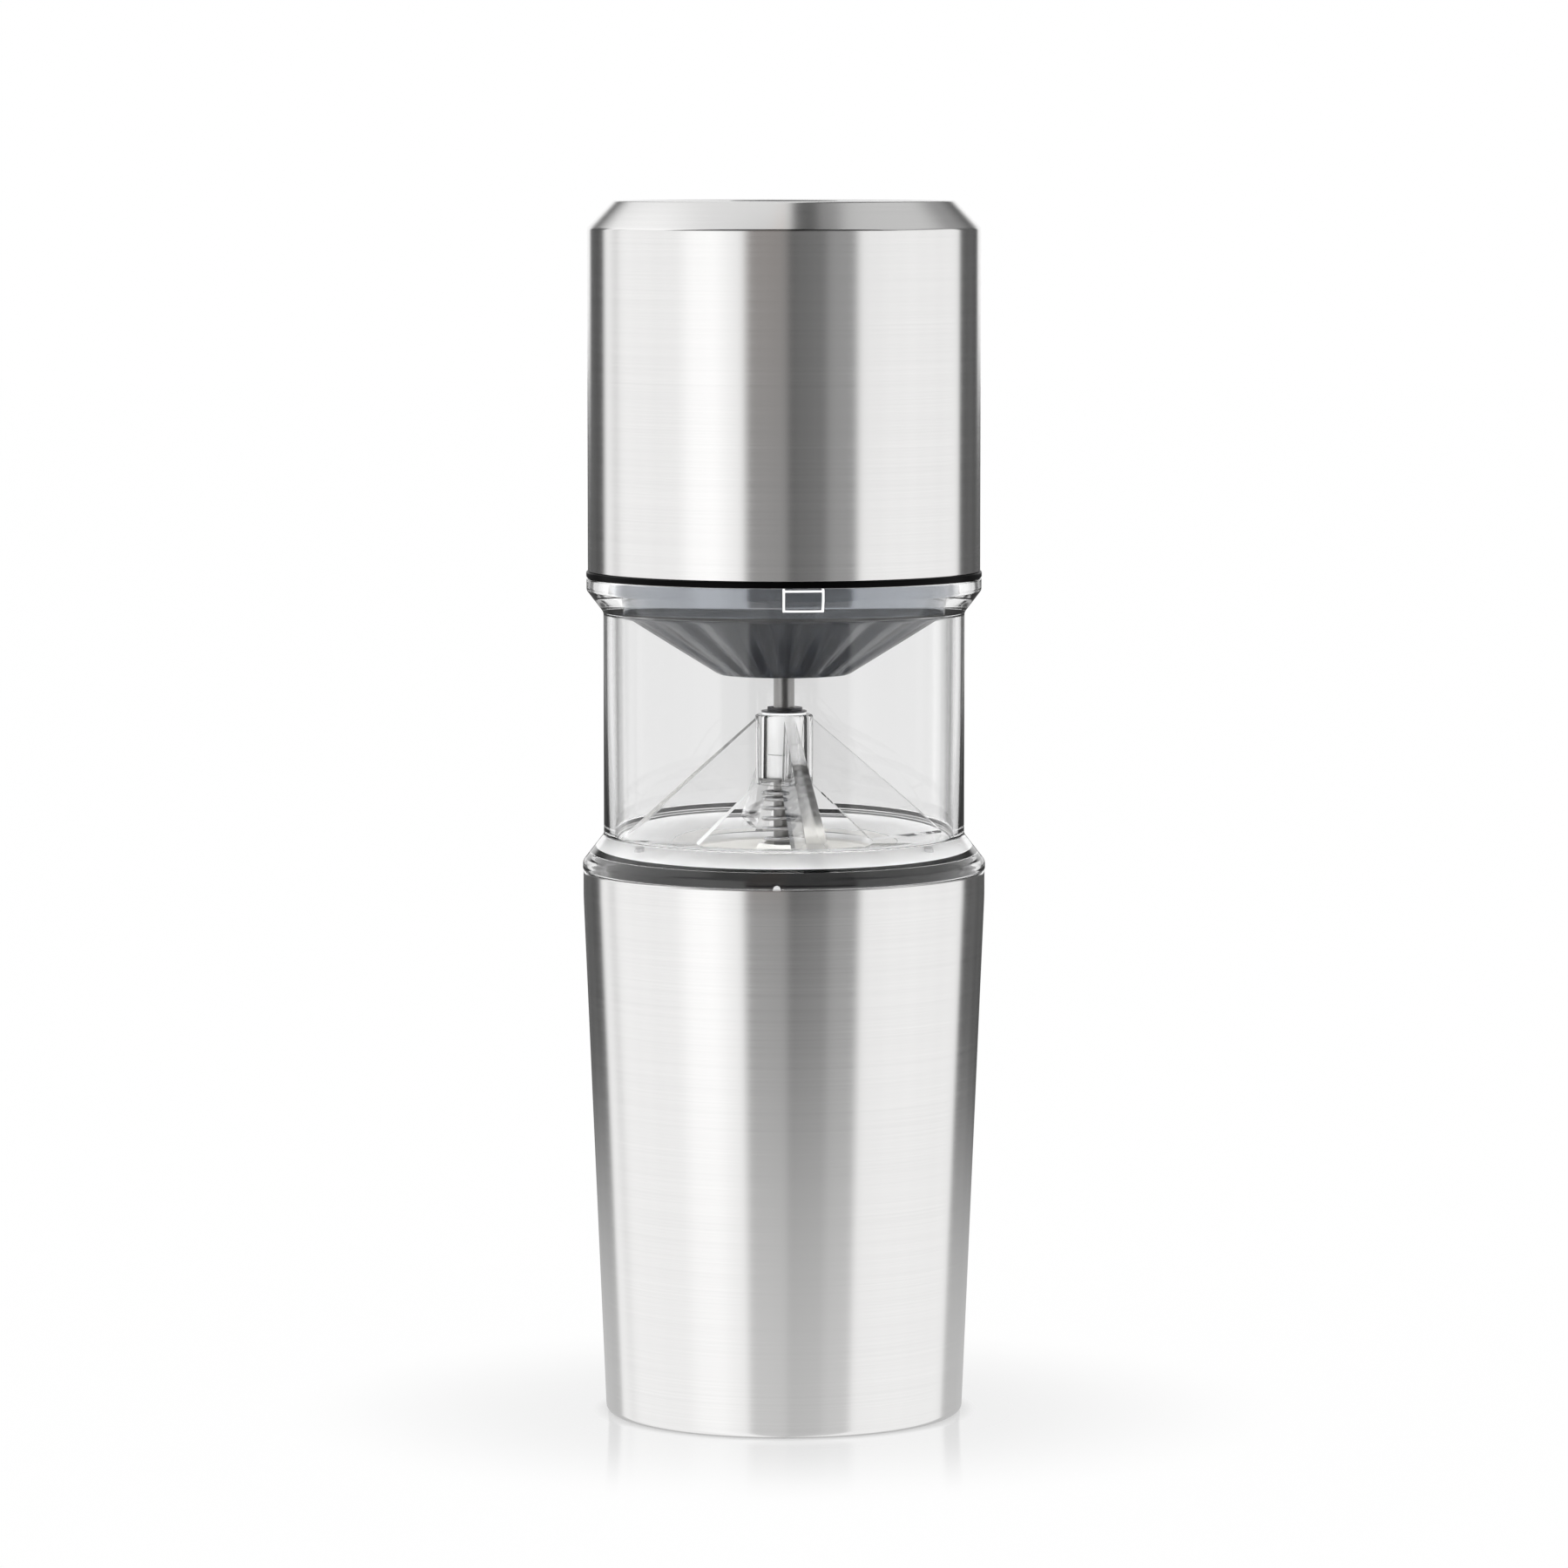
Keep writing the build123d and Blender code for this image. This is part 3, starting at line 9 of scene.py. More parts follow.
import bmesh
import bpy
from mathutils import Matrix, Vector

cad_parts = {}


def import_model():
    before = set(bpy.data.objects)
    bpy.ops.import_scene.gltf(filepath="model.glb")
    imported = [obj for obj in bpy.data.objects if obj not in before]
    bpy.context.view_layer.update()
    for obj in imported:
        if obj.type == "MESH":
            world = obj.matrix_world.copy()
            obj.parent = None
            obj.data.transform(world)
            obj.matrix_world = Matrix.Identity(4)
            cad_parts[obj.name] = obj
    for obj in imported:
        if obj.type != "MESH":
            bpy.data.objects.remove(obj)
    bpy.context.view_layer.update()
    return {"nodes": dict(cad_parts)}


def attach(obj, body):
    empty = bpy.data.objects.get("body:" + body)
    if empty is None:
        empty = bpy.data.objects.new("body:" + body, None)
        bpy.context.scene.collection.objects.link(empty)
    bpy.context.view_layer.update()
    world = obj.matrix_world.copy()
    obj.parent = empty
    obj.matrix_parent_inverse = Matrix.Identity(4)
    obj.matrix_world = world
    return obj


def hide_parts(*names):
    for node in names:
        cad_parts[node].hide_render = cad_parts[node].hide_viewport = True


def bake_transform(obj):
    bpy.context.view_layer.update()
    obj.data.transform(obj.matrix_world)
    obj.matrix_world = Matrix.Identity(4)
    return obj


log = logging.getLogger("burr_grinder")
MM = 0.001
TURN = 2 * pi
Colour = tuple[float, float, float]
Corner = tuple[float, ...]
Piece = bpy.types.Object
Spot = tuple[float, float, float]
MADE: dict[str, bpy.types.Material] = {}


class Body(Enum):
    """The bodies of the frame that pieces ride on."""

    CUP = "cup"
    HOPPER = "hopper"
    ROTOR = "rotor"
    BURRS = "burr_carriage"
    NUT = "adjuster"
    HEAD = "head"
    BUTTON = "button"
    COVER = "cover"


class Joining(Enum):
    """How other solids change a piece."""

    UNION = "UNION"
    DIFFERENCE = "DIFFERENCE"
    INTERSECT = "INTERSECT"


def operator(operation: str, reflected: bool = False) -> Callable[..., "Wire"]:
    """Makes a method of Wire that adds one Math node.

    Args:
        operation: The node's operation.
        reflected: Whether the wire is the last value, not the first.

    Returns:
        The method.
    """

    def method(wire: "Wire", *others: object) -> "Wire":
        """Adds the node to the wire's tree."""
        values = (*others, wire) if reflected else (wire, *others)
        return wire.nodes.add("ShaderNodeMath", *values, settings={"operation": operation})

    return method


@dataclass(frozen=True, eq=False)
class Wire:
    """A node's output that takes Python operators."""

    nodes: "Nodes"
    source: bpy.types.NodeSocket

    __add__, __radd__ = operator("ADD"), operator("ADD", True)
    __sub__, __rsub__ = operator("SUBTRACT"), operator("SUBTRACT", True)
    __mul__, __rmul__ = operator("MULTIPLY"), operator("MULTIPLY", True)
    __rtruediv__, __pow__ = operator("DIVIDE", True), operator("POWER")
    sine, size = operator("SINE"), operator("ABSOLUTE")
    at_least, at_most = operator("MAXIMUM"), operator("MINIMUM")
    angle_to = operator("ARCTAN2")

    def over(self, low: float, high: float) -> "Wire":
        """Smooth step from 0 at low to 1 at high."""
        step = {"settings": {"interpolation_type": "SMOOTHSTEP"}, "take": "Result"}
        return self.nodes.add("ShaderNodeMapRange", self, From_Min=low, From_Max=high, **step)

    def within(self, low: float, full: float, fade: float, gone: float) -> "Wire":
        """Smooth band that is 0 up to low, 1 from full to fade, and 0 past gone."""
        return self.over(low, full) * (1.0 - self.over(fade, gone))

    def mixed(self, other: object, share: "Wire") -> "Wire":
        """This value, moved towards another by a share."""
        return self * (1.0 - share) + share * other


class Nodes:
    """A node tree with short calls for its nodes."""

    def __init__(self, tree: bpy.types.NodeTree) -> None:
        """Takes a tree and clears it."""
        self.tree = tree
        tree.nodes.clear()

    def feed(self, node: bpy.types.Node, inputs: dict) -> None:
        """Links wires to a node's sockets, and sets the constants of others.

        Args:
            node: The node.
            inputs: Socket places or names, with _ for a space, and wires or constants.
        """
        for key, value in inputs.items():
            slot = node.inputs[key.replace("_", " ") if isinstance(key, str) else key]
            if isinstance(value, Wire):
                self.tree.links.new(value.source, slot)
            else:
                slot.default_value = value

    def node(
        self, kind: str, *places: object, settings: dict | None = None, **inputs: object
    ) -> bpy.types.Node:
        """Adds a node, sets its properties first, then its sockets.

        Args:
            kind: The node's type.
            places: Wires or constants for its first sockets, in order.
            settings: Property names and values.
            inputs: Wires or constants for sockets by name.

        Returns:
            The node.
        """
        node = self.tree.nodes.new(kind)
        for name, value in (settings or {}).items():
            setattr(node, name, value)
        self.feed(node, dict(enumerate(places)) | inputs)
        return node

    def add(self, kind: str, *places: object, take: str | int = 0, **rest: object) -> Wire:
        """Adds a node as node() does, and gives one of its outputs."""
        return Wire(self, self.node(kind, *places, **rest).outputs[take])

    def split(self, kind: str, take: str) -> list[Wire]:
        """Adds a node and gives the three parts of one of its vectors."""
        parts = self.node("ShaderNodeSeparateXYZ", self.add(kind, take=take))
        return [Wire(self, part) for part in parts.outputs]

    def place(self) -> list[Wire]:
        """Object coordinates as three wires, in metres."""
        return self.split("ShaderNodeTexCoord", "Object")

    def noise(self, scale: float, detail: float = 2.0, stretch: Corner = (1.0, 1.0)) -> Wire:
        """Noise from 0 to 1 on object coordinates.

        Args:
            scale: Noise scale.
            detail: Octaves.
            stretch: What X and Y are multiplied by, and what Z is.

        Returns:
            The noise.
        """
        level, upright = stretch
        where = self.add("ShaderNodeTexCoord", take="Object")
        where = self.add("ShaderNodeMapping", Vector=where, Scale=(level, level, upright))
        return self.add("ShaderNodeTexNoise", Vector=where, Scale=scale, Detail=detail)

    def tint(self, factor: Wire, low: Sequence[float], high: Sequence[float]) -> Wire:
        """A colour between two colours.

        Args:
            factor: 0 for low, 1 for high.
            low: First colour.
            high: Second colour.

        Returns:
            The colour.
        """
        node = self.node("ShaderNodeMix", factor, settings={"data_type": "RGBA"})
        self.feed(node, {6: (*low, 1.0), 7: (*high, 1.0)})
        return Wire(self, node.outputs[2])

    def bump(self, height: Wire, distance: float, strength: float) -> Wire:
        """A normal bumped by a height from 0 to 1, over a distance in metres."""
        return self.add("ShaderNodeBump", Strength=strength, Distance=distance, Height=height)


@dataclass(frozen=True)
class Finish:
    """A finish with one Principled shader, and what every finish shares."""

    name: str
    colour: Colour
    roughness: float

    def constants(self) -> dict[str, object]:
        """Sockets with one value all over the surface."""
        return {}

    def vary(self, nodes: Nodes) -> dict[str, object]:
        """Sockets that change over the surface."""
        return {}

    def shade(self, nodes: Nodes, factor: Wire, low: float, high: float) -> Wire:
        """The finish's colour, times low where the factor is 0 and times high where it is 1."""
        ends = [[min(1.0, part * share) for part in self.colour] for share in (low, high)]
        return nodes.tint(factor, *ends)

    def material(self) -> bpy.types.Material:
        """The finish's material, made once.

        Returns:
            The material.
        """
        if self.name not in MADE:
            made = MADE[self.name] = bpy.data.materials.new(self.name)
            made.use_nodes = True
            nodes = Nodes(made.node_tree)
            surface = nodes.node("ShaderNodeBsdfPrincipled", (*self.colour, 1.0))
            nodes.feed(surface, {"Roughness": self.roughness, **self.constants()})
            nodes.feed(surface, self.vary(nodes))
            nodes.node("ShaderNodeOutputMaterial", Wire(nodes, surface.outputs[0]))
        return MADE[self.name]


@dataclass(frozen=True)
class BrushedSteel(Finish):
    """Steel brushed round and round."""

    fine_lines: Corner = (14.0, 5200.0)
    broad_lines: Corner = (9.0, 832.0)
    streak: float = 0.07
    anisotropy: float = 0.75

    def constants(self) -> dict[str, object]:
        """Metal whose highlights stretch across its brushing."""
        return {"Metallic": 1.0, "Anisotropic": self.anisotropy, "Anisotropic Rotation": 0.25}

    def vary(self, nodes: Nodes) -> dict[str, object]:
        """Fine and broad lines round the axis, and slow clouds.

        Args:
            nodes: The material's tree.

        Returns:
            Socket names and wires.
        """
        fine = nodes.noise(1.0, 3.0, self.fine_lines)
        lines = fine * 0.65 + nodes.noise(1.0, 2.0, self.broad_lines) * 0.35
        cloud = nodes.noise(38.0, 1.0, (1.0, 0.4))
        return {
            "Base Color": self.shade(nodes, lines, 1.0 - self.streak, 1.0 + self.streak),
            "Roughness": lines * 0.12 + cloud * 0.05 + (self.roughness - 0.085),
            "Normal": nodes.bump(lines, 0.000004, 0.5),
        }


@dataclass(frozen=True)
class WebbedPlastic(Finish):
    """Clear moulded plastic whose sloping web edges are frosted. Sizes in metres."""

    index: float = 1.49
    start: Corner = (0.0051, 0.1328)
    stop: Corner = (0.031, 0.1097)
    reach: Corner = (0.0056, 0.006, 0.029, 0.0295)
    band: float = 0.00035
    frost: float = 0.25

    def constants(self) -> dict[str, object]:
        """Full transmission."""
        return {"Transmission Weight": 1.0, "IOR": self.index}

    def vary(self, nodes: Nodes) -> dict[str, object]:
        """Slow waves of the moulding, and frost on the line of the webs.

        Args:
            nodes: The material's tree.

        Returns:
            Socket names and wires.
        """
        x, y, z = nodes.place()
        radius = (x * x + y * y) ** 0.5
        slope = (self.stop[1] - self.start[1]) / (self.stop[0] - self.start[0])
        off = ((radius - self.start[0]) * slope + self.start[1] - z).size()
        edge = (1.0 - off.over(self.band * 0.6, self.band)) * radius.within(*self.reach)
        return {
            "Roughness": nodes.noise(900.0) * 0.012 + edge * self.frost,
            "Normal": nodes.bump(nodes.noise(60.0, 1.0, (1.0, 0.5)), 0.00002, 0.4),
        }


@dataclass(frozen=True)
class Moulded(Finish):
    """Moulded plastic, glossy or satin, with a fine grain."""

    grain: float = 0.000004
    grain_scale: float = 3200.0
    coat: float = 0.0
    pearl_and_painted_reflection: float = 0.0
    specular: float = 0.5

    def constants(self) -> dict[str, object]:
        """A thin clear coat where glossy, and metal: flakes where pearly, painted reflection on the
        spigot.
        """
        coat = {"Coat Weight": self.coat, "Coat Roughness": 0.04}
        return {**coat, "Metallic": self.pearl_and_painted_reflection, "Specular IOR Level": self.specular}

    def vary(self, nodes: Nodes) -> dict[str, object]:
        """Grain in the roughness and the bump, and slow clouds.

        Args:
            nodes: The material's tree.

        Returns:
            Socket names and wires.
        """
        grain, cloud = nodes.noise(self.grain_scale), nodes.noise(120.0, 1.0)
        return {
            "Base Color": self.shade(nodes, cloud, 0.85, 1.15),
            "Roughness": grain * 0.06 + cloud * 0.06 + (self.roughness - 0.06),
            "Normal": nodes.bump(grain, self.grain, 0.5),
        }


@dataclass(frozen=True)
class Turned(Finish):
    """Ground, drawn or plated metal with faint lines and stains."""

    lines_per_m: float = 2600.0

    def constants(self) -> dict[str, object]:
        """Metal."""
        return {"Metallic": 1.0}

    def vary(self, nodes: Nodes) -> dict[str, object]:
        """Turning lines and slow stains.

        Args:
            nodes: The material's tree.

        Returns:
            Socket names and wires.
        """
        lines = nodes.noise(1.0, 2.0, (60.0, self.lines_per_m))
        stain = nodes.noise(320.0)
        return {
            "Base Color": self.shade(nodes, stain, 0.86, 1.0),
            "Roughness": lines * 0.1 + stain * 0.1 + (self.roughness - 0.1),
            "Normal": nodes.bump(lines, 0.000003, 0.4),
        }


STEEL = BrushedSteel("brushed_steel_round", (0.86, 0.855, 0.85), 0.2)
CLEAR = WebbedPlastic("clear_moulding", (1.0, 1.0, 1.0), 0.0)
POLISHED = (0.000002, 2400.0)
GLOSS_BLACK = Moulded("gloss_black_plastic", (0.012, 0.012, 0.014), 0.12, *POLISHED, 0.6)
CONE_BLACK = Moulded("ribbed_cone_plastic", (0.018, 0.022, 0.03), 0.13, *POLISHED, 0.1, 0.75, 0.35)
# The spigot is the base's glossy black plastic; its grey-blue colour and high metal share are
# painted reflection.
SPIGOT_PAINTED_REFLECTION = Moulded("polished_spigot_plastic", (0.27, 0.29, 0.32), 0.1, *POLISHED, 0.3, 0.85)
DEEP_BLACK = Moulded(
    "deep_black_plastic", (0.0012, 0.0012, 0.0014), 0.3, 0.000003, 2400.0, specular=0.05
)
FROSTED = Moulded("frosted_lug_edge", (0.9, 0.9, 0.9), 0.4)
SATIN_BLACK = Moulded("satin_black_plastic", (0.025, 0.025, 0.027), 0.45, 0.00001, 5200.0)
PALE_BUSH = Moulded("natural_bush_polymer", (0.8, 0.8, 0.8), 0.25)
DARK_BUSH = Moulded("dark_bush_polymer", (0.02, 0.02, 0.024), 0.3)
GEAR_POLYMER = Moulded("natural_gear_polymer", (0.78, 0.77, 0.71), 0.4)
PALE_POLYMER = Moulded("pale_carrier_polymer", (0.95, 0.95, 0.95), 0.3, 0.000003, 2600.0)
SEAL = Moulded("moulded_seal", (0.03, 0.03, 0.03), 0.7, 0.00001, 4200.0)
WHITE_MARK = Moulded("white_mark_paint", (0.9, 0.9, 0.9), 0.3)
CERAMIC = Moulded("burr_ceramic", (0.82, 0.81, 0.78), 0.5, 0.000008, 2600.0)
CELL_WRAP = Moulded("cell_sleeve", (0.03, 0.16, 0.36), 0.25)
BOARD = Moulded("board_mask", (0.02, 0.15, 0.06), 0.3)
SHAFT_STEEL = Turned("ground_shaft_steel", (0.36, 0.355, 0.35), 0.3)
LAMINATIONS = Turned("stacked_laminations", (0.22, 0.2, 0.18), 0.45, 5200.0)
CLIP_STEEL = Turned("blackened_clip_steel", (0.06, 0.06, 0.065), 0.35)
ZINC = Turned("zinc_plated_screw", (0.95, 0.95, 0.95), 0.5)
PLATED = Turned("plated_can_steel", (0.72, 0.72, 0.73), 0.28)
SPRING_WIRE = Turned("drawn_spring_wire", (0.62, 0.62, 0.63), 0.16, 300.0)
NICKEL = Turned("nickel_strip", (0.7, 0.67, 0.6), 0.3)
BRONZE = Turned("sintered_bronze", (0.5, 0.32, 0.16), 0.45)
BRASS = Turned("machined_brass", (0.72, 0.55, 0.26), 0.25)

NODES_OF: dict[Finish, str] = {
    STEEL: "grounds_cup motor_housing",
    CLEAR: "bean_hopper shaft_spider",
    WHITE_MARK: "joint_mark",
    SEAL: "head_seal cup_seal lip_seal port_cover",
    DARK_BUSH: "upper_bush lower_bush",
    BRONZE: "output_bush",
    PALE_POLYMER: "burr_carrier",
    DEEP_BLACK: "plug_ring",
    CONE_BLACK: "motor_base",
    GLOSS_BLACK: "button_bezel",
    SATIN_BLACK: "power_button adjust_nut battery_frame motor_endcap button_switch",
    CERAMIC: "outer_burr inner_burr",
    SHAFT_STEEL: "drive_shaft thrust_washer detent_plate gearbox_screws motor_screws"
    " board_screws motor_mount motor_shaft output_carrier",
    ZINC: "carrier_screws",
    LAMINATIONS: "motor_armature",
    CLIP_STEEL: "shaft_clip",
    SPRING_WIRE: "burr_spring button_spring",
    PLATED: "motor_can charge_socket",
    GEAR_POLYMER: "gearbox_case planet_gear_1 planet_gear_2 planet_gear_3",
    BRASS: "sun_gear",
    CELL_WRAP: "battery_cells",
    NICKEL: "cell_contacts",
    BOARD: "control_board",
}
FINISH_OF = {node: finish for finish, nodes in NODES_OF.items() for node in nodes.split()}


def polar(radius: float, angle: float, height: float) -> Spot:
    """A point from its radius, its turn in radians and its height."""
    return radius * cos(angle), radius * sin(angle), height


def outwards(azimuth: float) -> Vector:
    """Level unit vector, with azimuth in degrees from the front towards +X."""
    return Vector((sin(radians(azimuth)), -cos(radians(azimuth)), 0.0))


def line(start: Corner, end: Corner, steps: int) -> list[Corner]:
    """Points at even steps from one point to another, both among them."""
    shares = [index / steps for index in range(steps + 1)]
    return [tuple(a + (b - a) * share for a, b in zip(start, end)) for share in shares]


def block(inner: float, outer: float, low: float, high: float, bevel: float = 0.0) -> list[Corner]:
    """Corners of a section between two radii and two heights, the outer two rounded."""
    return [(inner, low), (outer, low, bevel), (outer, high, bevel), (inner, high)]


def rounded(corners: Sequence[Corner], steps: int = 6) -> list[Corner]:
    """Points of a profile whose corners are rounded.

    Args:
        corners: (radius, height) or (radius, height, rounding).
        steps: Spans on each rounded corner.

    Returns:
        The points.
    """
    points: list[Corner] = []
    for index, corner in enumerate(corners):
        here = Vector(corner[:2])
        radius = corner[2] if len(corner) > 2 else 0.0
        if radius <= 0:
            points.append((here.x, here.y))
            continue
        to_last = (Vector(corners[index - 1][:2]) - here).normalized()
        to_next = (Vector(corners[(index + 1) % len(corners)][:2]) - here).normalized()
        half = to_last.angle(to_next) / 2
        middle = here + (to_last + to_next).normalized() * (radius / sin(half))
        start, end = (here + way * (radius / tan(half)) - middle for way in (to_last, to_next))
        for step in range(steps + 1):
            spot = middle + start.lerp(end, step / steps).normalized() * radius
            points.append((spot.x, spot.y))
    return points


def mesh_object(
    name: str, spots: Sequence[Spot], faces: Sequence = (), edges: Sequence = ()
) -> Piece:
    """A piece from points, with doubles merged and its faces outwards.

    Args:
        name: The piece's name.
        spots: Its points, in millimetres.
        faces: The points of each face.
        edges: The points of each loose edge.

    Returns:
        The piece.
    """
    mesh = bpy.data.meshes.new(name)
    mesh.from_pydata([[part * MM for part in spot] for spot in spots], edges, faces)
    builder = bmesh.new()
    builder.from_mesh(mesh)
    bmesh.ops.remove_doubles(builder, verts=builder.verts, dist=1e-7)
    bmesh.ops.dissolve_degenerate(builder, dist=1e-8, edges=builder.edges)
    bmesh.ops.recalc_face_normals(builder, faces=builder.faces)
    builder.to_mesh(mesh)
    builder.free()
    piece = bpy.data.objects.new(name, mesh)
    bpy.context.scene.collection.objects.link(piece)
    return piece


def smooth(piece: Piece, sharp: float = 40.0) -> Piece:
    """Shades a piece smooth but for edges bent more than some degrees.

    Args:
        piece: The piece.
        sharp: The bend, in degrees.

    Returns:
        The piece.
    """
    piece.data.shade_smooth()
    piece.data.set_sharp_from_angle(angle=radians(sharp))
    return piece


def lathe(
    name: str,
    corners: Sequence[Corner],
    around: int = 192,
    shape: Callable[[float, float, float], Spot] = polar,
    sharp: float = 40.0,
) -> Piece:
    """Turns a profile round the axis.

    Args:
        name: The piece's name.
        corners: The profile's corners, which may be rounded. It closes on itself unless
            it starts on the axis.
        around: Segments in a turn.
        shape: Gives the place of a point from its radius, turn and height.
        sharp: Edges bent more than this many degrees stay sharp.

    Returns:
        The piece.
    """
    profile = rounded(corners)
    turns = [TURN * index / around for index in range(around)]
    spots = [shape(radius, turn, height) for radius, height in profile for turn in turns]
    faces = []
    for row in range(len(profile) - (corners[0][0] == 0)):
        low, high = row * around, (row + 1) % len(profile) * around
        for index in range(around):
            step = (index + 1) % around
            faces.append((low + index, low + step, high + step, high + index))
    return smooth(mesh_object(name, spots, faces), sharp)


def prism(name: str, outline: Sequence[Vector], push: Vector) -> Piece:
    """A flat outline pushed along a vector into a solid.

    Args:
        name: The piece's name.
        outline: Corners in order.
        push: Thickness and direction.

    Returns:
        The piece.
    """
    count = len(outline)
    faces = [range(count), range(2 * count - 1, count - 1, -1)]
    for index in range(count):
        step = (index + 1) % count
        faces.append((index, count + index, count + step, step))
    return mesh_object(name, [*outline, *(corner + push for corner in outline)], faces)


def radial(name: str, azimuth: float, outline: Sequence[Corner], thickness: float) -> Piece:
    """A plate that stands along a radius.

    Args:
        name: The piece's name.
        azimuth: Where it stands, in degrees.
        outline: Radius and height of its corners.
        thickness: Its thickness across the radius.

    Returns:
        The piece.
    """
    out, across = outwards(azimuth), outwards(azimuth + 90.0) * thickness
    spots = [out * r + Vector((0.0, 0.0, z)) - across / 2 for r, z, *_ in outline]
    return prism(name, spots, across)


def plain_mesh(piece: Piece) -> Piece:
    """Applies a piece's modifiers by turning its evaluated shape into its mesh.

    Args:
        piece: The piece.

    Returns:
        The same piece with no modifiers.
    """
    graph = bpy.context.evaluated_depsgraph_get()
    mesh = bpy.data.meshes.new_from_object(piece.evaluated_get(graph))
    piece.modifiers.clear()
    piece.data = mesh
    return piece


def combine(piece: Piece, others: Sequence[Piece], joining: Joining) -> Piece:
    """Joins other solids to a piece or cuts them from it, and removes them.

    Args:
        piece: The piece that stays.
        others: Solids to use.
        joining: What they do to the piece.

    Returns:
        The piece.
    """
    for index, other in enumerate(others):
        change = piece.modifiers.new(f"solid_{index}", "BOOLEAN")
        change.operation = joining.value
        change.object = other
        change.solver = "EXACT"
    plain_mesh(piece)
    for other in others:
        bpy.data.objects.remove(other, do_unlink=True)
    return smooth(piece)


class GeometryTree(Nodes):
    """A geometry tree with named inputs that ends in real, painted geometry."""

    inputs: dict[str, str] = {}

    def __init__(self, name: str) -> None:
        """Builds the tree.

        Args:
            name: The tree's name.
        """
        super().__init__(bpy.data.node_groups.new(name, "GeometryNodeTree"))
        kinds = {"Geometry": "Geometry", **self.inputs, "Material": "Material"}
        new_socket = self.tree.interface.new_socket
        for label, kind in kinds.items():
            new_socket(label, in_out="INPUT", socket_type=f"NodeSocket{kind}")
        new_socket("Geometry", in_out="OUTPUT", socket_type="NodeSocketGeometry")
        enter = self.node("NodeGroupInput")
        given = {label: Wire(self, enter.outputs[label]) for label in kinds}
        real = self.add("GeometryNodeRealizeInstances", self.shape(given))
        paint = self.add("GeometryNodeSetMaterial", real, Material=given["Material"])
        self.node("NodeGroupOutput", paint)

    def shape(self, given: dict[str, Wire]) -> Wire:
        """The geometry from the tree's inputs."""
        return given["Geometry"]

    def apply(self, piece: Piece, finish: Finish, **values: object) -> Piece:
        """Puts the tree on a piece and makes the result its mesh.

        Args:
            piece: The piece.
            finish: What it is made of.
            values: The tree's other inputs, with _ for a space.

        Returns:
            The piece.
        """
        values["Material"] = finish.material()
        change = piece.modifiers.new(self.tree.name, "NODES")
        change.node_group = self.tree
        for item in self.tree.interface.items_tree:
            key = item.name.replace(" ", "_")
            if key in values:
                change[item.identifier] = values[key]
        return plain_mesh(piece)


class Repeat(GeometryTree):
    """Turns copies of a solid round the axis."""

    inputs = {"Count": "Int"}

    def shape(self, given: dict[str, Wire]) -> Wire:
        """Copies at even turns.

        Args:
            given: The tree's inputs.

        Returns:
            The copies.
        """
        spots = self.add("GeometryNodePoints", given["Count"])
        angle = self.add("GeometryNodeInputIndex") * (TURN / given["Count"])
        turn = self.add("ShaderNodeCombineXYZ", 0.0, 0.0, angle)
        copied = {"Points": spots, "Instance": given["Geometry"], "Rotation": turn}
        return self.add("GeometryNodeInstanceOnPoints", **copied)


class WireSweep(GeometryTree):
    """Draws round wire along a line of points."""

    inputs = {"Wire Radius": "Float", "Sides": "Int"}

    def shape(self, given: dict[str, Wire]) -> Wire:
        """A circle swept along the line.

        Args:
            given: The tree's inputs.

        Returns:
            The wire.
        """
        section = {"Radius": given["Wire Radius"], "Resolution": given["Sides"]}
        circle = self.add("GeometryNodeCurvePrimitiveCircle", **section)
        curve = self.add("GeometryNodeMeshToCurve", given["Geometry"])
        swept = {"Curve": curve, "Profile Curve": circle, "Fill Caps": True}
        return self.add("GeometryNodeCurveToMesh", **swept)


@dataclass
class Coil:
    """A compression spring with upright ends. Sizes in millimetres."""

    seat: float
    top: float
    wire: float
    radius: float
    top_radius: float
    pitch: float
    top_pitch: float
    seat_radius: float = 0.0
    close_share: float = 0.78
    seat_share: float = 0.3
    per_turn: int = 40
    sides: int = 14

    def spots(self) -> list[Vector]:
        """Centre line of the wire.

        Returns:
            Its points.
        """
        lead = 2 * self.wire
        wound = self.top - self.seat - 4 * lead
        levels = [0.0]
        while levels[-1] < wound:
            pitch = self.pitch if levels[-1] / wound < self.close_share else self.top_pitch
            levels.append(levels[-1] + pitch / self.per_turn)
        stretch = wound / levels[-1]
        quarter_turn = ceil(len(levels) / self.per_turn * 4) * self.per_turn // 4
        wire = []
        for index, level in enumerate(levels):
            share = level * stretch / wound
            swell = max(share - self.close_share, 0.0) / (1.0 - self.close_share)
            radius = self.radius + (self.top_radius - self.radius) * swell
            if self.seat_radius:
                shrink = max(1.0 - share / self.seat_share, 0.0)
                radius -= (self.radius - self.seat_radius) * shrink
            angle = TURN * index / self.per_turn * quarter_turn / len(levels)
            wire.append(Vector(polar(radius, angle, self.seat + 2 * lead + level * stretch)))
        up = Vector((0.0, 0.0, lead))
        below = [wire[0] - up * drop for drop in (2.0, 1.5, 1.0, 0.5)]
        return [*below, *wire, *(wire[-1] + up * rise for rise in (0.5, 1.0, 1.5, 2.0))]


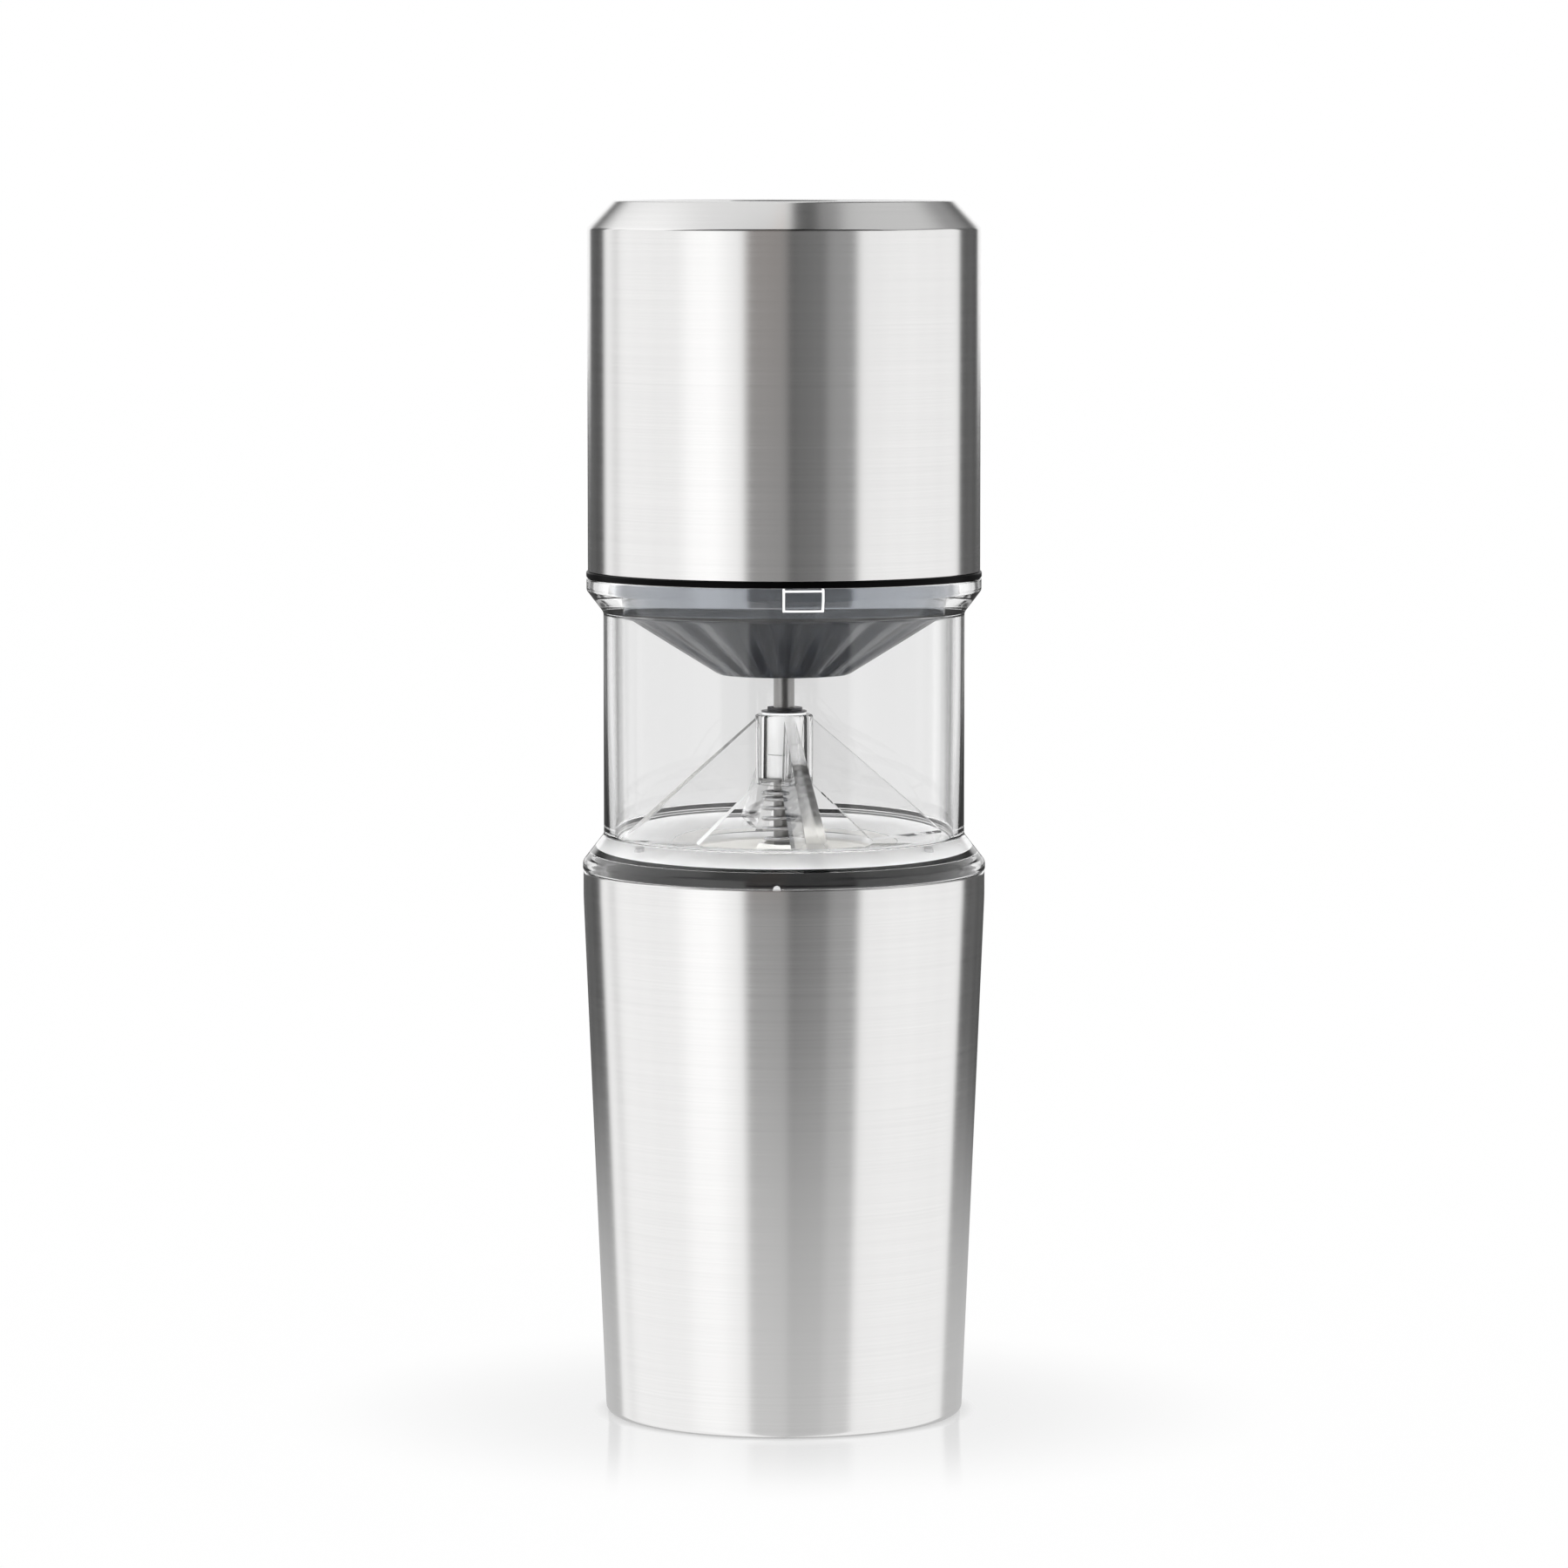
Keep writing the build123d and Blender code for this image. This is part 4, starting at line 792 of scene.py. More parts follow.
@dataclass
class Part:
    """A sub-assembly: it builds pieces, gives them a finish and lets them ride."""

    made: list[str] = field(default_factory=list)

    def paint(self, piece: Piece, finish: Finish, *nodes: str) -> None:
        """Gives a piece its finish, in place of CAD nodes.

        Args:
            piece: The piece.
            finish: Its finish.
            nodes: The CAD nodes that it stands for.
        """
        piece.data.materials.clear()
        piece.data.materials.append(finish.material())
        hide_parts(*nodes)
        self.made.append(piece.name)

    def dress(self, piece: Piece, finish: Finish, body: Body, *nodes: str) -> None:
        """Paints a piece in place of CAD nodes, and lets it ride on a body."""
        self.paint(piece, finish, *nodes)
        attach(piece, body.value)

    def turn(
        self, name: str, corners: list[Corner], finish: Finish, body: Body, node: str, **how: object
    ) -> None:
        """Turns a piece as lathe() does, and dresses it."""
        self.dress(lathe(name, corners, **how), finish, body, node)

    def spring(
        self, name: str, coil: Coil, start: tuple[Body, float], end: tuple[Body, float], node: str
    ) -> None:
        """Winds a spring of round wire.

        Args:
            name: The piece's name.
            coil: Its sizes.
            start: The body at one end and that end's height; neither is used.
            end: The body at the other end and that end's height; neither is used.
            node: The CAD node that it stands for.
        """
        spots = coil.spots()
        piece = mesh_object(name, spots, edges=[(i, i + 1) for i in range(len(spots) - 1)])
        sweep = WireSweep(f"{node}_wire")
        sweep.apply(piece, SPRING_WIRE, Wire_Radius=coil.wire * MM, Sides=coil.sides)
        piece.data.shade_smooth()
        self.paint(piece, SPRING_WIRE, node)
        ends = [(0.0, 0.0, height * MM) for _, height in (start, end)]
        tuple(ends[0])
        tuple(ends[1])
        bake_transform(piece)


@dataclass
class GroundsCup(Part):
    """The tapered steel cup. Sizes in millimetres."""

    height: float = 103.9
    rim_radius: float = 38.2
    base_radius: float = 34.0
    rim_band: float = 5.0
    rim_bend: float = 60.0
    wall: float = 1.2
    floor: float = 1.6
    base_rounding: float = 1.2
    foot_rise: float = 0.5
    foot_width: float = 3.2

    def build(self) -> None:
        """Turns the cup."""
        inner, band = self.rim_radius - self.wall, self.height - self.rim_band
        ring = self.base_radius - self.base_rounding - self.foot_width
        corners = [
            (0.0, self.foot_rise),
            (ring, self.foot_rise),
            (ring + self.foot_rise, 0.0),
            (self.base_radius, 0.0, self.base_rounding),
            (self.rim_radius, band, self.rim_bend),
            (self.rim_radius, self.height, 0.45),
            (inner, self.height, 0.2),
            (inner, band, self.rim_bend),
            (self.base_radius - self.wall, self.floor, self.base_rounding),
            (0.0, self.floor),
        ]
        self.turn("steel_cup", corners, STEEL, Body.CUP, "grounds_cup", around=256)


@dataclass
class BeanHopper(Part):
    """The clear hopper with its hub, webs and lugs. Sizes in millimetres."""

    foot_bottom: float = 103.92
    foot_top: float = 105.6
    foot_radius: float = 38.3
    foot_bore: float = 36.6
    carrier_top: float = 106.42
    carrier_edge: float = 35.646
    neck_base: float = 110.8
    neck_radius: float = 34.3
    neck_bore: float = 32.6
    neck_top: float = 153.1
    ledge: float = 153.5
    flange_base: float = 157.3
    flange_radius: float = 37.5
    flange_bore: float = 33.4
    top: float = 159.67
    mouth: float = 17.0
    floor_top: float = 108.1
    floor_fall: float = 1.4
    hub_radius: float = 5.5
    hub_bore: float = 3.3
    pocket_radius: float = 4.75
    pocket_top: float = 121.0
    hub_bottom: float = 119.6
    hub_top: float = 133.4
    webs: int = 4
    web_azimuth: float = 12.0
    web_thickness: float = 3.2
    web_draft: float = 0.7
    web_reach: float = 31.0
    web_tip: float = 0.4
    lugs: int = 3
    lug_azimuth: float = 6.0
    lug_width: float = 7.5
    lug_bottom: float = 155.7
    lug_top: float = 159.2
    lug_face: float = 32.3
    lug_edge: float = 0.4
    sunk: float = 0.3

    def shell(self) -> Piece:
        """Foot, shoulder, neck, flange and floor in one turning.

        Returns:
            The piece.
        """
        corners = [
            (self.foot_bore, self.foot_bottom),
            (self.foot_radius, self.foot_bottom, 0.5),
            (self.foot_radius, self.foot_top, 1.4),
            (self.neck_radius, self.neck_base, 1.2),
            (self.neck_radius, self.neck_top, 1.6),
            (self.flange_radius, self.flange_base, 1.0),
            (self.flange_radius, self.top, 0.4),
            (self.flange_bore, self.top),
            (self.flange_bore, self.ledge),
            (self.neck_bore, self.ledge),
            (self.neck_bore, self.floor_top + self.floor_fall, 1.0),
            (self.mouth, self.floor_top),
            (self.mouth, self.carrier_top),
            (self.carrier_edge, self.carrier_top),
            (self.foot_bore, self.foot_top - 0.34),
        ]
        return lathe("clear_hopper", corners, 240)

    def hub(self) -> Piece:
        """The tube that holds the bushes.

        Returns:
            The piece.
        """
        corners = [
            (self.pocket_radius, self.hub_bottom),
            (self.hub_radius, self.hub_bottom, 0.25),
            (self.hub_radius, self.hub_top, 0.5),
            (self.hub_bore, self.hub_top),
            (self.hub_bore, self.pocket_top),
            (self.pocket_radius, self.pocket_top),
        ]
        return lathe("clear_hub", corners, 96)

    def web(self) -> Piece:
        """One web between hub and floor, thicker at its foot.

        Returns:
            The piece.
        """
        skin = (self.hub_radius + self.pocket_radius) / 2
        slope = self.floor_fall / (self.neck_bore - self.mouth)
        foot = self.floor_top + (self.web_reach - self.mouth) * slope
        outline = [
            (skin, self.hub_top - 0.6),
            (self.web_reach, foot + self.web_tip),
            (self.web_reach, foot - self.sunk),
            (self.mouth + self.sunk, self.floor_top - self.sunk),
            (skin, self.hub_bottom + 0.2),
        ]
        web = radial("clear_webs", self.web_azimuth, outline, self.web_thickness)
        side = outwards(self.web_azimuth + 90.0)
        middle = (self.hub_top + self.floor_top) / 2
        for corner in web.data.vertices:
            share = (middle - corner.co.z / MM) / (self.hub_top - self.floor_top)
            corner.co += side * corner.co.dot(side) * share * self.web_draft
        return web

    def lug(self) -> Piece:
        """One lug inside the flange."""
        outline = block(self.lug_face, self.flange_bore + 0.8, self.lug_bottom, self.lug_top)
        return radial("clear_lugs", self.lug_azimuth, outline, self.lug_width)

    def lug_frame(self) -> Piece:
        """The frosted edges of one lug, as a thin frame.

        Returns:
            The piece.
        """
        rings = []
        for inset in (0.0, self.lug_edge):
            face = self.flange_bore - 0.15 - inset / 2
            low, high = self.lug_bottom + inset, self.lug_top - inset
            outline = block(face, face + 0.3 + inset, low, high)
            width = self.lug_width - 2 * inset
            rings.append(radial("lug_frames", self.lug_azimuth, outline, width))
        return combine(rings[0], rings[1:], Joining.DIFFERENCE)

    def build(self) -> None:
        """Joins shell, hub, webs and lugs into one clear moulding."""
        repeat = Repeat("turned_copies")
        webs = repeat.apply(self.web(), CLEAR, Count=self.webs)
        lugs = repeat.apply(self.lug(), CLEAR, Count=self.lugs)
        hopper = combine(self.shell(), [self.hub(), webs, lugs], Joining.UNION)
        self.dress(hopper, CLEAR, Body.HOPPER, "bean_hopper", "shaft_spider")
        frames = repeat.apply(self.lug_frame(), FROSTED, Count=self.lugs)
        self.dress(frames, FROSTED, Body.HOPPER, "bean_hopper")


@dataclass
class BurrSet(Part):
    """Carrier, plug ring, seals, burrs and nut. Sizes in millimetres."""

    carrier_top: float = 106.47
    plate: float = 2.0
    plate_radius: float = 33.2
    lap_radius: float = 31.6
    lap_depth: float = 1.02
    socket_radius: float = 22.02
    socket_outside: float = 24.02
    ribs: int = 9
    rib_azimuth: float = 80.0
    rib_reach: float = 30.6
    rib: float = 1.6
    plug_radius: float = 36.4
    plug_wall: float = 2.2
    plug_shoulder: float = 105.06
    plug_top_radius: float = 35.42
    skirt_bottom: float = 95.3
    groove: float = 0.8
    seal_bottom: float = 98.7
    seal_top: float = 100.5
    seal_radius: float = 36.95
    seal_lip: float = 0.3
    burr_radius: float = 22.0
    burr_bottom: float = 93.1
    throat: float = 99.1
    throat_radius: float = 13.2
    slope: float = 0.76
    mouth: float = 17.0
    gap_across: float = 0.691
    inner_top: float = 107.9
    inner_bottom: float = 93.5
    recess: float = 1.5
    recess_radius: float = 3.2
    foot_width: float = 2.4
    shoulder_radius: float = 6.5
    shoulder_height: float = 104.5
    hub_radius: float = 5.0
    pocket_radius: float = 3.8
    pocket_floor: float = 106.0
    shaft_hole: float = 2.05
    teeth: int = 24
    tooth_depth: float = 0.8
    tooth_rise: float = 0.7
    tooth_skew: float = 24.0
    breakers: int = 6
    breaker_depth: float = 1.5
    face_steps: int = 8
    nut_radius: float = 11.5
    nut_foot: float = 9.0
    nut_top: float = 92.65
    nut_bottom: float = 88.65
    nut_boss: float = 0.8
    nut_boss_radius: float = 8.5
    lobes: int = 10
    scallop: float = 2.6

    def face(self, height: float, inset: float = 0.0) -> float:
        """Radius of the grinding face at a height, less an inset."""
        return self.throat_radius - inset + (self.throat - height) * self.slope

    def flute(self, r: float, angle: float, z: float, count: int, start: float, hand: int) -> float:
        """How deep a skewed flute is, from 0 on a ridge to 1 in a valley.

        Args:
            r: Radius.
            angle: Turn in radians.
            z: Height.
            count: Flutes in a turn.
            start: Height where the flutes start.
            hand: The side that they lean to, 1 or -1.

        Returns:
            The share of the depth.
        """
        run = (start - z) * hypot(1.0, self.slope)
        lean = hand * run * tan(radians(self.tooth_skew)) / max(r, 1.0)
        phase = (angle - lean) * count / TURN % 1.0
        rise = self.tooth_rise
        return phase / rise if phase < rise else (1.0 - phase) / (1.0 - rise)

    def ring_tooth(self, r: float, angle: float, z: float) -> Spot:
        """A point of the ring burr, with its teeth cut.

        Args:
            r: Radius.
            angle: Turn in radians.
            z: Height.

        Returns:
            The point.
        """
        run = self.throat + 0.01 - z
        if run > 0 and abs(r - self.face(z)) < 0.1:
            depth = self.tooth_depth * min(1.0, run / 1.5)
            r += depth * self.flute(r, angle, z, self.teeth, self.throat, -1)
        return polar(r, angle, z)

    def cone_tooth(self, r: float, angle: float, z: float) -> Spot:
        """A point of the cone burr, with its fine teeth and its breakers cut.

        Args:
            r: Radius.
            angle: Turn in radians.
            z: Height.

        Returns:
            The point.
        """
        start = self.throat_radius - self.gap_across
        run = (start - self.shoulder_radius) / (self.shoulder_height - self.throat)
        shoulder = start - (z - self.throat) * run
        left = self.shoulder_height - 0.1 - z
        if z < self.throat - 0.01 and abs(r - self.face(z, self.gap_across)) < 0.1:
            r -= self.tooth_depth * self.flute(r, angle, z, self.teeth, self.throat, 1)
        elif z > self.throat - 0.02 and left > 0 and abs(r - shoulder) < 0.1:
            depth = self.breaker_depth * min(1.0, left / 1.2)
            r -= depth * self.flute(r, angle, z, self.breakers, self.shoulder_height, 1)
        return polar(r, angle, z)

    def lobe(self, r: float, angle: float, z: float) -> Spot:
        """A point of the star nut, with the finger scallops cut.

        Args:
            r: Radius.
            angle: Turn in radians.
            z: Height.

        Returns:
            The point.
        """
        centre = self.nut_radius + self.scallop * 0.45
        step = TURN / self.lobes
        off = (angle + step / 2) % step - step / 2
        across = centre * sin(off)
        if abs(across) < self.scallop:
            r = min(r, centre * cos(off) - (self.scallop**2 - across**2) ** 0.5)
        return polar(r, angle, z)

    def carrier(self) -> Piece:
        """Pale plate with the socket and its ribs.

        Returns:
            The piece.
        """
        top = self.carrier_top
        low, lap = top - self.plate, top - self.plate / 2
        corners = [
            (self.socket_radius, top),
            (self.socket_radius, self.burr_bottom),
            (self.socket_outside, self.burr_bottom, 0.4),
            (self.socket_outside, low, 0.6),
            (self.lap_radius, low),
            (self.lap_radius, lap),
            (self.plate_radius, lap),
            (self.plate_radius, top),
        ]
        inner = self.socket_outside - 1.0
        outline = [
            (inner, lap),
            (self.rib_reach, lap),
            (self.rib_reach, low - self.rib),
            (inner, self.burr_bottom + 2.0),
        ]
        body = lathe("pale_carrier", corners)
        rib = radial("carrier_ribs", self.rib_azimuth, outline, self.rib)
        ribs = Repeat("carrier_ribs").apply(rib, PALE_POLYMER, Count=self.ribs)
        return combine(body, [ribs], Joining.UNION)

    def plug(self) -> list[Corner]:
        """Black ring that plugs the cup and holds the seal.

        Returns:
            Its corners.
        """
        top, radius = self.carrier_top, self.plug_radius
        plate, lap = self.plate_radius + 0.04, self.lap_radius + 0.02
        skirt = radius - self.plug_wall
        return [
            (plate, top),
            (plate, top - self.lap_depth),
            (lap, top - self.lap_depth),
            (lap, top - self.plate),
            (skirt, top - self.plate, 0.5),
            (skirt, self.skirt_bottom, 0.3),
            (radius, self.skirt_bottom, 0.6),
            (radius, self.seal_bottom),
            (radius - self.groove, self.seal_bottom),
            (radius - self.groove, self.seal_top),
            (radius, self.seal_top),
            (radius, self.plug_shoulder, 0.2),
            (self.plug_top_radius, top, 0.3),
        ]

    def seal(self) -> list[Corner]:
        """Soft ring in the plug's groove.

        Returns:
            Its corners.
        """
        low, high = self.seal_bottom + 0.02, self.seal_top - 0.02
        middle, lip = (low + high) / 2, self.seal_lip
        inner, outer = self.plug_radius - self.groove + 0.02, self.plug_radius - 0.2
        return [
            (inner, low),
            (outer, low, 0.2),
            (self.seal_radius, middle - lip, 0.3),
            (self.seal_radius, middle + lip, 0.3),
            (outer, high, 0.2),
            (inner, high),
        ]

    def ring_burr(self) -> list[Corner]:
        """Ceramic ring burr.

        Returns:
            Its corners.
        """
        foot = (self.face(self.burr_bottom), self.burr_bottom)
        return [
            *line((self.throat_radius, self.throat), foot, self.face_steps),
            (self.burr_radius, self.burr_bottom, 0.5),
            (self.burr_radius, self.carrier_top, 0.5),
            (self.mouth, self.carrier_top, 0.3),
        ]

    def cone_burr(self) -> list[Corner]:
        """Ceramic cone burr.

        Returns:
            Its corners.
        """
        bottom, recess = self.inner_bottom, self.inner_bottom + self.recess
        end = self.face(bottom, self.gap_across)
        low = (self.face(bottom + 0.3, self.gap_across), bottom + 0.3)
        waist = (self.throat_radius - self.gap_across, self.throat)
        shoulder = (self.shoulder_radius, self.shoulder_height)
        return [
            (self.shaft_hole, bottom),
            (self.recess_radius, bottom),
            (self.recess_radius, recess),
            (end - self.foot_width - 0.6, recess),
            (end - self.foot_width, bottom),
            (end, bottom, 0.3),
            *line(low, waist, self.face_steps)[1:],
            *line(waist, shoulder, self.face_steps)[1:],
            (self.hub_radius, self.inner_top - 0.4, 0.3),
            (self.hub_radius - 0.4, self.inner_top),
            (self.pocket_radius, self.inner_top),
            (self.pocket_radius, self.pocket_floor),
            (self.shaft_hole, self.pocket_floor),
        ]

    def nut(self) -> list[Corner]:
        """Star nut that sets the grind.

        Returns:
            Its corners.
        """
        ledge = self.nut_top - self.nut_boss
        return [
            (self.shaft_hole, self.nut_bottom),
            (self.nut_foot, self.nut_bottom),
            (self.nut_radius, self.nut_bottom, 0.8),
            (self.nut_radius, ledge, 0.6),
            (self.nut_boss_radius, ledge),
            (self.nut_boss_radius - 0.6, self.nut_top),
            (self.shaft_hole, self.nut_top),
        ]

    def build(self) -> None:
        """Builds the set."""
        self.dress(self.carrier(), PALE_POLYMER, Body.HOPPER, "burr_carrier")
        plug = ("black_plug_ring", self.plug(), DEEP_BLACK, Body.HOPPER, "plug_ring")
        self.turn(*plug, around=240)
        self.turn("cup_seal_ring", self.seal(), SEAL, Body.HOPPER, "cup_seal")
        fine = {"around": 288, "sharp": 30.0}
        ring = ("ring_burr", self.ring_burr(), CERAMIC, Body.HOPPER, "outer_burr")
        self.turn(*ring, shape=self.ring_tooth, **fine)
        cone = ("cone_burr", self.cone_burr(), CERAMIC, Body.BURRS, "inner_burr")
        self.turn(*cone, shape=self.cone_tooth, **fine)
        nut = ("star_nut", self.nut(), SATIN_BLACK, Body.NUT, "adjust_nut")
        self.turn(*nut, around=200, shape=self.lobe, sharp=35.0)


@dataclass
class ShaftLine(Part):
    """Shaft, bushes, washer and the burr spring. Sizes in millimetres."""

    radius: float = 2.0
    flat: float = 1.55
    bottom: float = 86.25
    flats_top: float = 106.8
    key_bottom: float = 144.5
    top: float = 150.9
    chamfer: float = 0.4
    clip_bottom: float = 134.13
    clip_top: float = 134.77
    neck_radius: float = 1.6
    bush_bore: float = 2.05
    hub_bore: float = 3.28
    hub_bottom: float = 121.0
    hub_top: float = 133.4
    flange_radius: float = 4.3
    flange: float = 0.7
    collar: float = 0.32
    washer_bottom: float = 120.35
    washer: float = 0.6
    washer_radius: float = 4.63
    spring_seat: float = 106.0

    def keyed(self, r: float, angle: float, z: float) -> Spot:
        """A point of the shaft, with its flats.

        Args:
            r: Radius.
            angle: Turn in radians.
            z: Height.

        Returns:
            The point.
        """
        x, y, z = polar(r, angle, z)
        if z <= self.flats_top or z >= self.key_bottom:
            y = max(-self.flat, min(self.flat, y))
        return x, y, z

    def shaft(self) -> list[Corner]:
        """The ground shaft with its clip groove.

        Returns:
            Its corners.
        """
        full, cut = self.radius, self.chamfer
        heights = (self.flats_top, self.flats_top + 0.02, self.clip_bottom)
        return [
            (0.0, self.bottom),
            (full - cut, self.bottom),
            (full, self.bottom + cut),
            *((full, height) for height in heights),
            (self.neck_radius, self.clip_bottom),
            (self.neck_radius, self.clip_top),
            (full, self.clip_top),
            (full, self.key_bottom - 0.02),
            (full, self.key_bottom),
            (full, self.top - cut),
            (full - cut, self.top),
            (0.0, self.top),
        ]

    def sleeve(self, low: float, high: float) -> list[Corner]:
        """Corners of a bush, but for its upper end."""
        return [(self.bush_bore, low), (self.hub_bore, low, 0.2), (self.hub_bore, high)]

    def build(self) -> None:
        """Builds the shaft line."""
        shaft = ("steel_shaft", self.shaft(), SHAFT_STEEL, Body.ROTOR, "drive_shaft")
        self.turn(*shaft, around=64, shape=self.keyed, sharp=30.0)
        low, high, end = self.hub_bottom, self.hub_top, self.hub_top + self.flange
        upper = [
            *self.sleeve(low + 4.6, high),
            (self.flange_radius, high + 0.01),
            (self.flange_radius, end, 0.25),
            (self.bush_bore, end),
        ]
        lower = [*self.sleeve(low + 0.01, low + 4.5), (self.bush_bore, low + 4.5)]
        collar_top = end + 0.02
        collar_low, edge = collar_top - self.collar, self.flange_radius + 0.02
        collar = block(self.bush_bore, edge, collar_low, collar_top)
        bottom = self.washer_bottom
        washer = block(2.02, self.washer_radius, bottom, bottom + self.washer, 0.1)
        for row in (
            ("upper_bush_sleeve", upper, PALE_BUSH, Body.HOPPER, "upper_bush"),
            ("lower_bush_sleeve", lower, PALE_BUSH, Body.HOPPER, "lower_bush"),
            ("bush_collar", collar, DARK_BUSH, Body.HOPPER, "upper_bush"),
            ("spring_washer", washer, SHAFT_STEEL, Body.ROTOR, "thrust_washer"),
        ):
            self.turn(*row, around=96)
        coil = Coil(self.spring_seat, bottom, 0.4, 3.9, 4.25, 2.1, 1.3, 3.3)
        ends = (Body.ROTOR, coil.top), (Body.BURRS, coil.seat)
        self.spring("burr_spring_coil", coil, *ends, "burr_spring")


@dataclass
class MotorHead(Part):
    """The steel housing and the black base with its ribbed cone. Sizes in millimetres."""

    ring_bottom: float = 159.7
    ring_top: float = 160.9
    ring_radius: float = 37.55
    housing_radius: float = 37.25
    wall: float = 0.9
    fit: float = 0.05
    shoulder: float = 225.8
    top: float = 230.9
    top_radius: float = 32.35
    lid: float = 1.2
    bezel_radius: float = 12.32
    bezel_bore: float = 10.3
    bezel_lip: float = 2.22
    bezel_room: float = 11.5
    bezel_flange: float = 14.3
    bezel_depth: float = 4.6
    button_radius: float = 10.1
    button_flange: float = 11.3
    button_depth: float = 3.0
    stem_radius: float = 2.2
    stem_bottom: float = 226.35
    dish: float = 0.5
    cone_tip: float = 141.3
    cone_tip_radius: float = 12.4
    cone_top: float = 153.9
    cone_top_radius: float = 32.2
    cone_steps: int = 12
    spigot_radius: float = 33.2
    spigot_bottom: float = 154.3
    ribs: int = 16
    groove: float = 0.75
    shaft_hole: float = 2.6
    collar: float = 6.0
    collar_wall: float = 2.0
    plate_radius: float = 22.7
    plate_depth: float = 2.4
    well_radius: float = 17.6
    well_depth: float = 10.17
    lip_radius: float = 6.02
    tip_floor: float = 1.2
    port_centre: float = 186.9
    port_half: float = 6.5
    port_rise: float = 3.5
    port_corner: float = 2.2
    flap_gap: float = 0.2
    flap_inner: float = 36.17
    seal_inner: float = 32.65
    seal_outer: float = 33.35
    seal_depth: float = 0.78
    spring_seat: float = 221.4
    spring_top: float = 227.8

    @property
    def bore(self) -> float:
        """Radius inside the housing."""
        return self.housing_radius - self.wall

    def port(self, name: str, inset: float, start: float, depth: float) -> Piece:
        """A solid with the rounded outline of the port at the back.

        Args:
            name: The solid's name.
            inset: How much smaller than the port it is, all round.
            start: Where it starts, from the axis.
            depth: Its depth.

        Returns:
            The solid.
        """
        corner = self.port_corner - inset
        outline = []
        for quarter, (sx, sz) in enumerate(((1, 1), (-1, 1), (-1, -1), (1, -1))):
            for step in range(7):
                angle = radians(90 * quarter + 15 * step)
                x = sx * (self.port_half - self.port_corner) + corner * cos(angle)
                z = sz * (self.port_rise - self.port_corner) + corner * sin(angle)
                outline.append(Vector((x, start, self.port_centre + z)))
        return prism(name, outline, Vector((0.0, depth, 0.0)))

    def housing(self) -> Piece:
        """The drawn steel shell with its port opening.

        Returns:
            The piece.
        """
        under = self.top - self.lid
        corners = [
            (self.bore, self.ring_top),
            (self.housing_radius, self.ring_top, 0.25),
            (self.housing_radius, self.shoulder, 0.9),
            (self.top_radius, self.top, 0.8),
            (self.bezel_radius, self.top),
            (self.bezel_radius, under),
            (self.top_radius - 0.6, under),
            (self.bore, self.shoulder - 0.5),
        ]
        shell = lathe("steel_housing", corners, 256)
        return combine(shell, [self.port("port_cutter", 0.0, 30.0, 12.0)], Joining.DIFFERENCE)

    def grooved(self, r: float, angle: float, z: float) -> Spot:
        """A point of the base, with the cone's grooves pressed in.

        Args:
            r: Radius.
            angle: Turn in radians.
            z: Height.

        Returns:
            The point.
        """
        share = (r - self.cone_tip_radius) / (self.cone_top_radius - self.cone_tip_radius)
        face = self.cone_tip + share * (self.cone_top - self.cone_tip)
        if 0.0 < share < 1.0 and abs(z - face) < 1.2:
            fade = min(1.0, share * 12.0) * min(1.0, (1.0 - share) * 10.0)
            wave = 0.5 - 0.5 * cos(self.ribs * (angle + pi / 2))
            z += self.groove * fade * wave**2
        return polar(r, angle, z)

    def base(self) -> list[Corner]:
        """Cone, collar and gearbox well in one turning.

        Returns:
            Its corners.
        """
        bore, top = self.bore - self.fit, self.ring_top
        tip = (self.cone_tip_radius, self.cone_tip)
        edge = (self.cone_top_radius, self.cone_top)
        collar, plate, well = top + self.collar, top - self.plate_depth, top - self.well_depth
        return [
            (self.shaft_hole, self.cone_tip),
            (*tip, 1.4),
            *line(tip, edge, self.cone_steps)[1:],
            (self.cone_top_radius, self.ring_bottom),
            (bore, self.ring_bottom),
            (bore, collar),
            (bore - self.collar_wall, collar),
            (bore - self.collar_wall, top),
            (self.plate_radius, top),
            (self.plate_radius, plate),
            (self.well_radius, plate),
            (self.well_radius, well),
            (self.lip_radius, well),
            (self.lip_radius, self.cone_tip + self.tip_floor),
            (self.shaft_hole, self.cone_tip + self.tip_floor),
        ]

    def bezel(self) -> list[Corner]:
        """Black ring that guides the button.

        Returns:
            Its corners.
        """
        top, under, outer = self.top + 0.02, self.top - self.lid - 0.01, self.bezel_radius - 0.02
        return [
            (self.bezel_bore, top, 0.25),
            (self.bezel_bore, top - self.bezel_lip),
            (self.bezel_room, top - self.bezel_lip),
            (self.bezel_room, self.top - self.bezel_depth),
            (self.bezel_flange, self.top - self.bezel_depth),
            (self.bezel_flange, under),
            (outer, under),
            (outer, top, 0.3),
        ]

    def button(self) -> list[Corner]:
        """Dished button with its stop flange and stem.

        Returns:
            Its corners.
        """
        top, radius = self.top - 0.1, self.button_radius
        low, flange = top - self.button_depth, top - self.button_depth + 0.8
        return [
            (0.0, self.stem_bottom),
            (self.stem_radius, self.stem_bottom),
            (self.stem_radius, low),
            (self.button_flange, low),
            (self.button_flange, flange),
            (radius, flange),
            (radius, top, 0.4),
            (radius - 1.0, top, 0.6),
            (radius - 3.0, top - self.dish, 1.5),
            (0.0, top - self.dish),
        ]

    def cover(self) -> Piece:
        """Soft cover that fills the port's opening.

        Returns:
            The piece.
        """
        low, high = self.port_centre - 7.0, self.port_centre + 7.0
        wall = block(self.flap_inner, self.housing_radius, low, high)
        outline = self.port("cover_outline", self.flap_gap, 33.0, 6.0)
        return combine(lathe("port_cover_flap", wall, 360), [outline], Joining.INTERSECT)

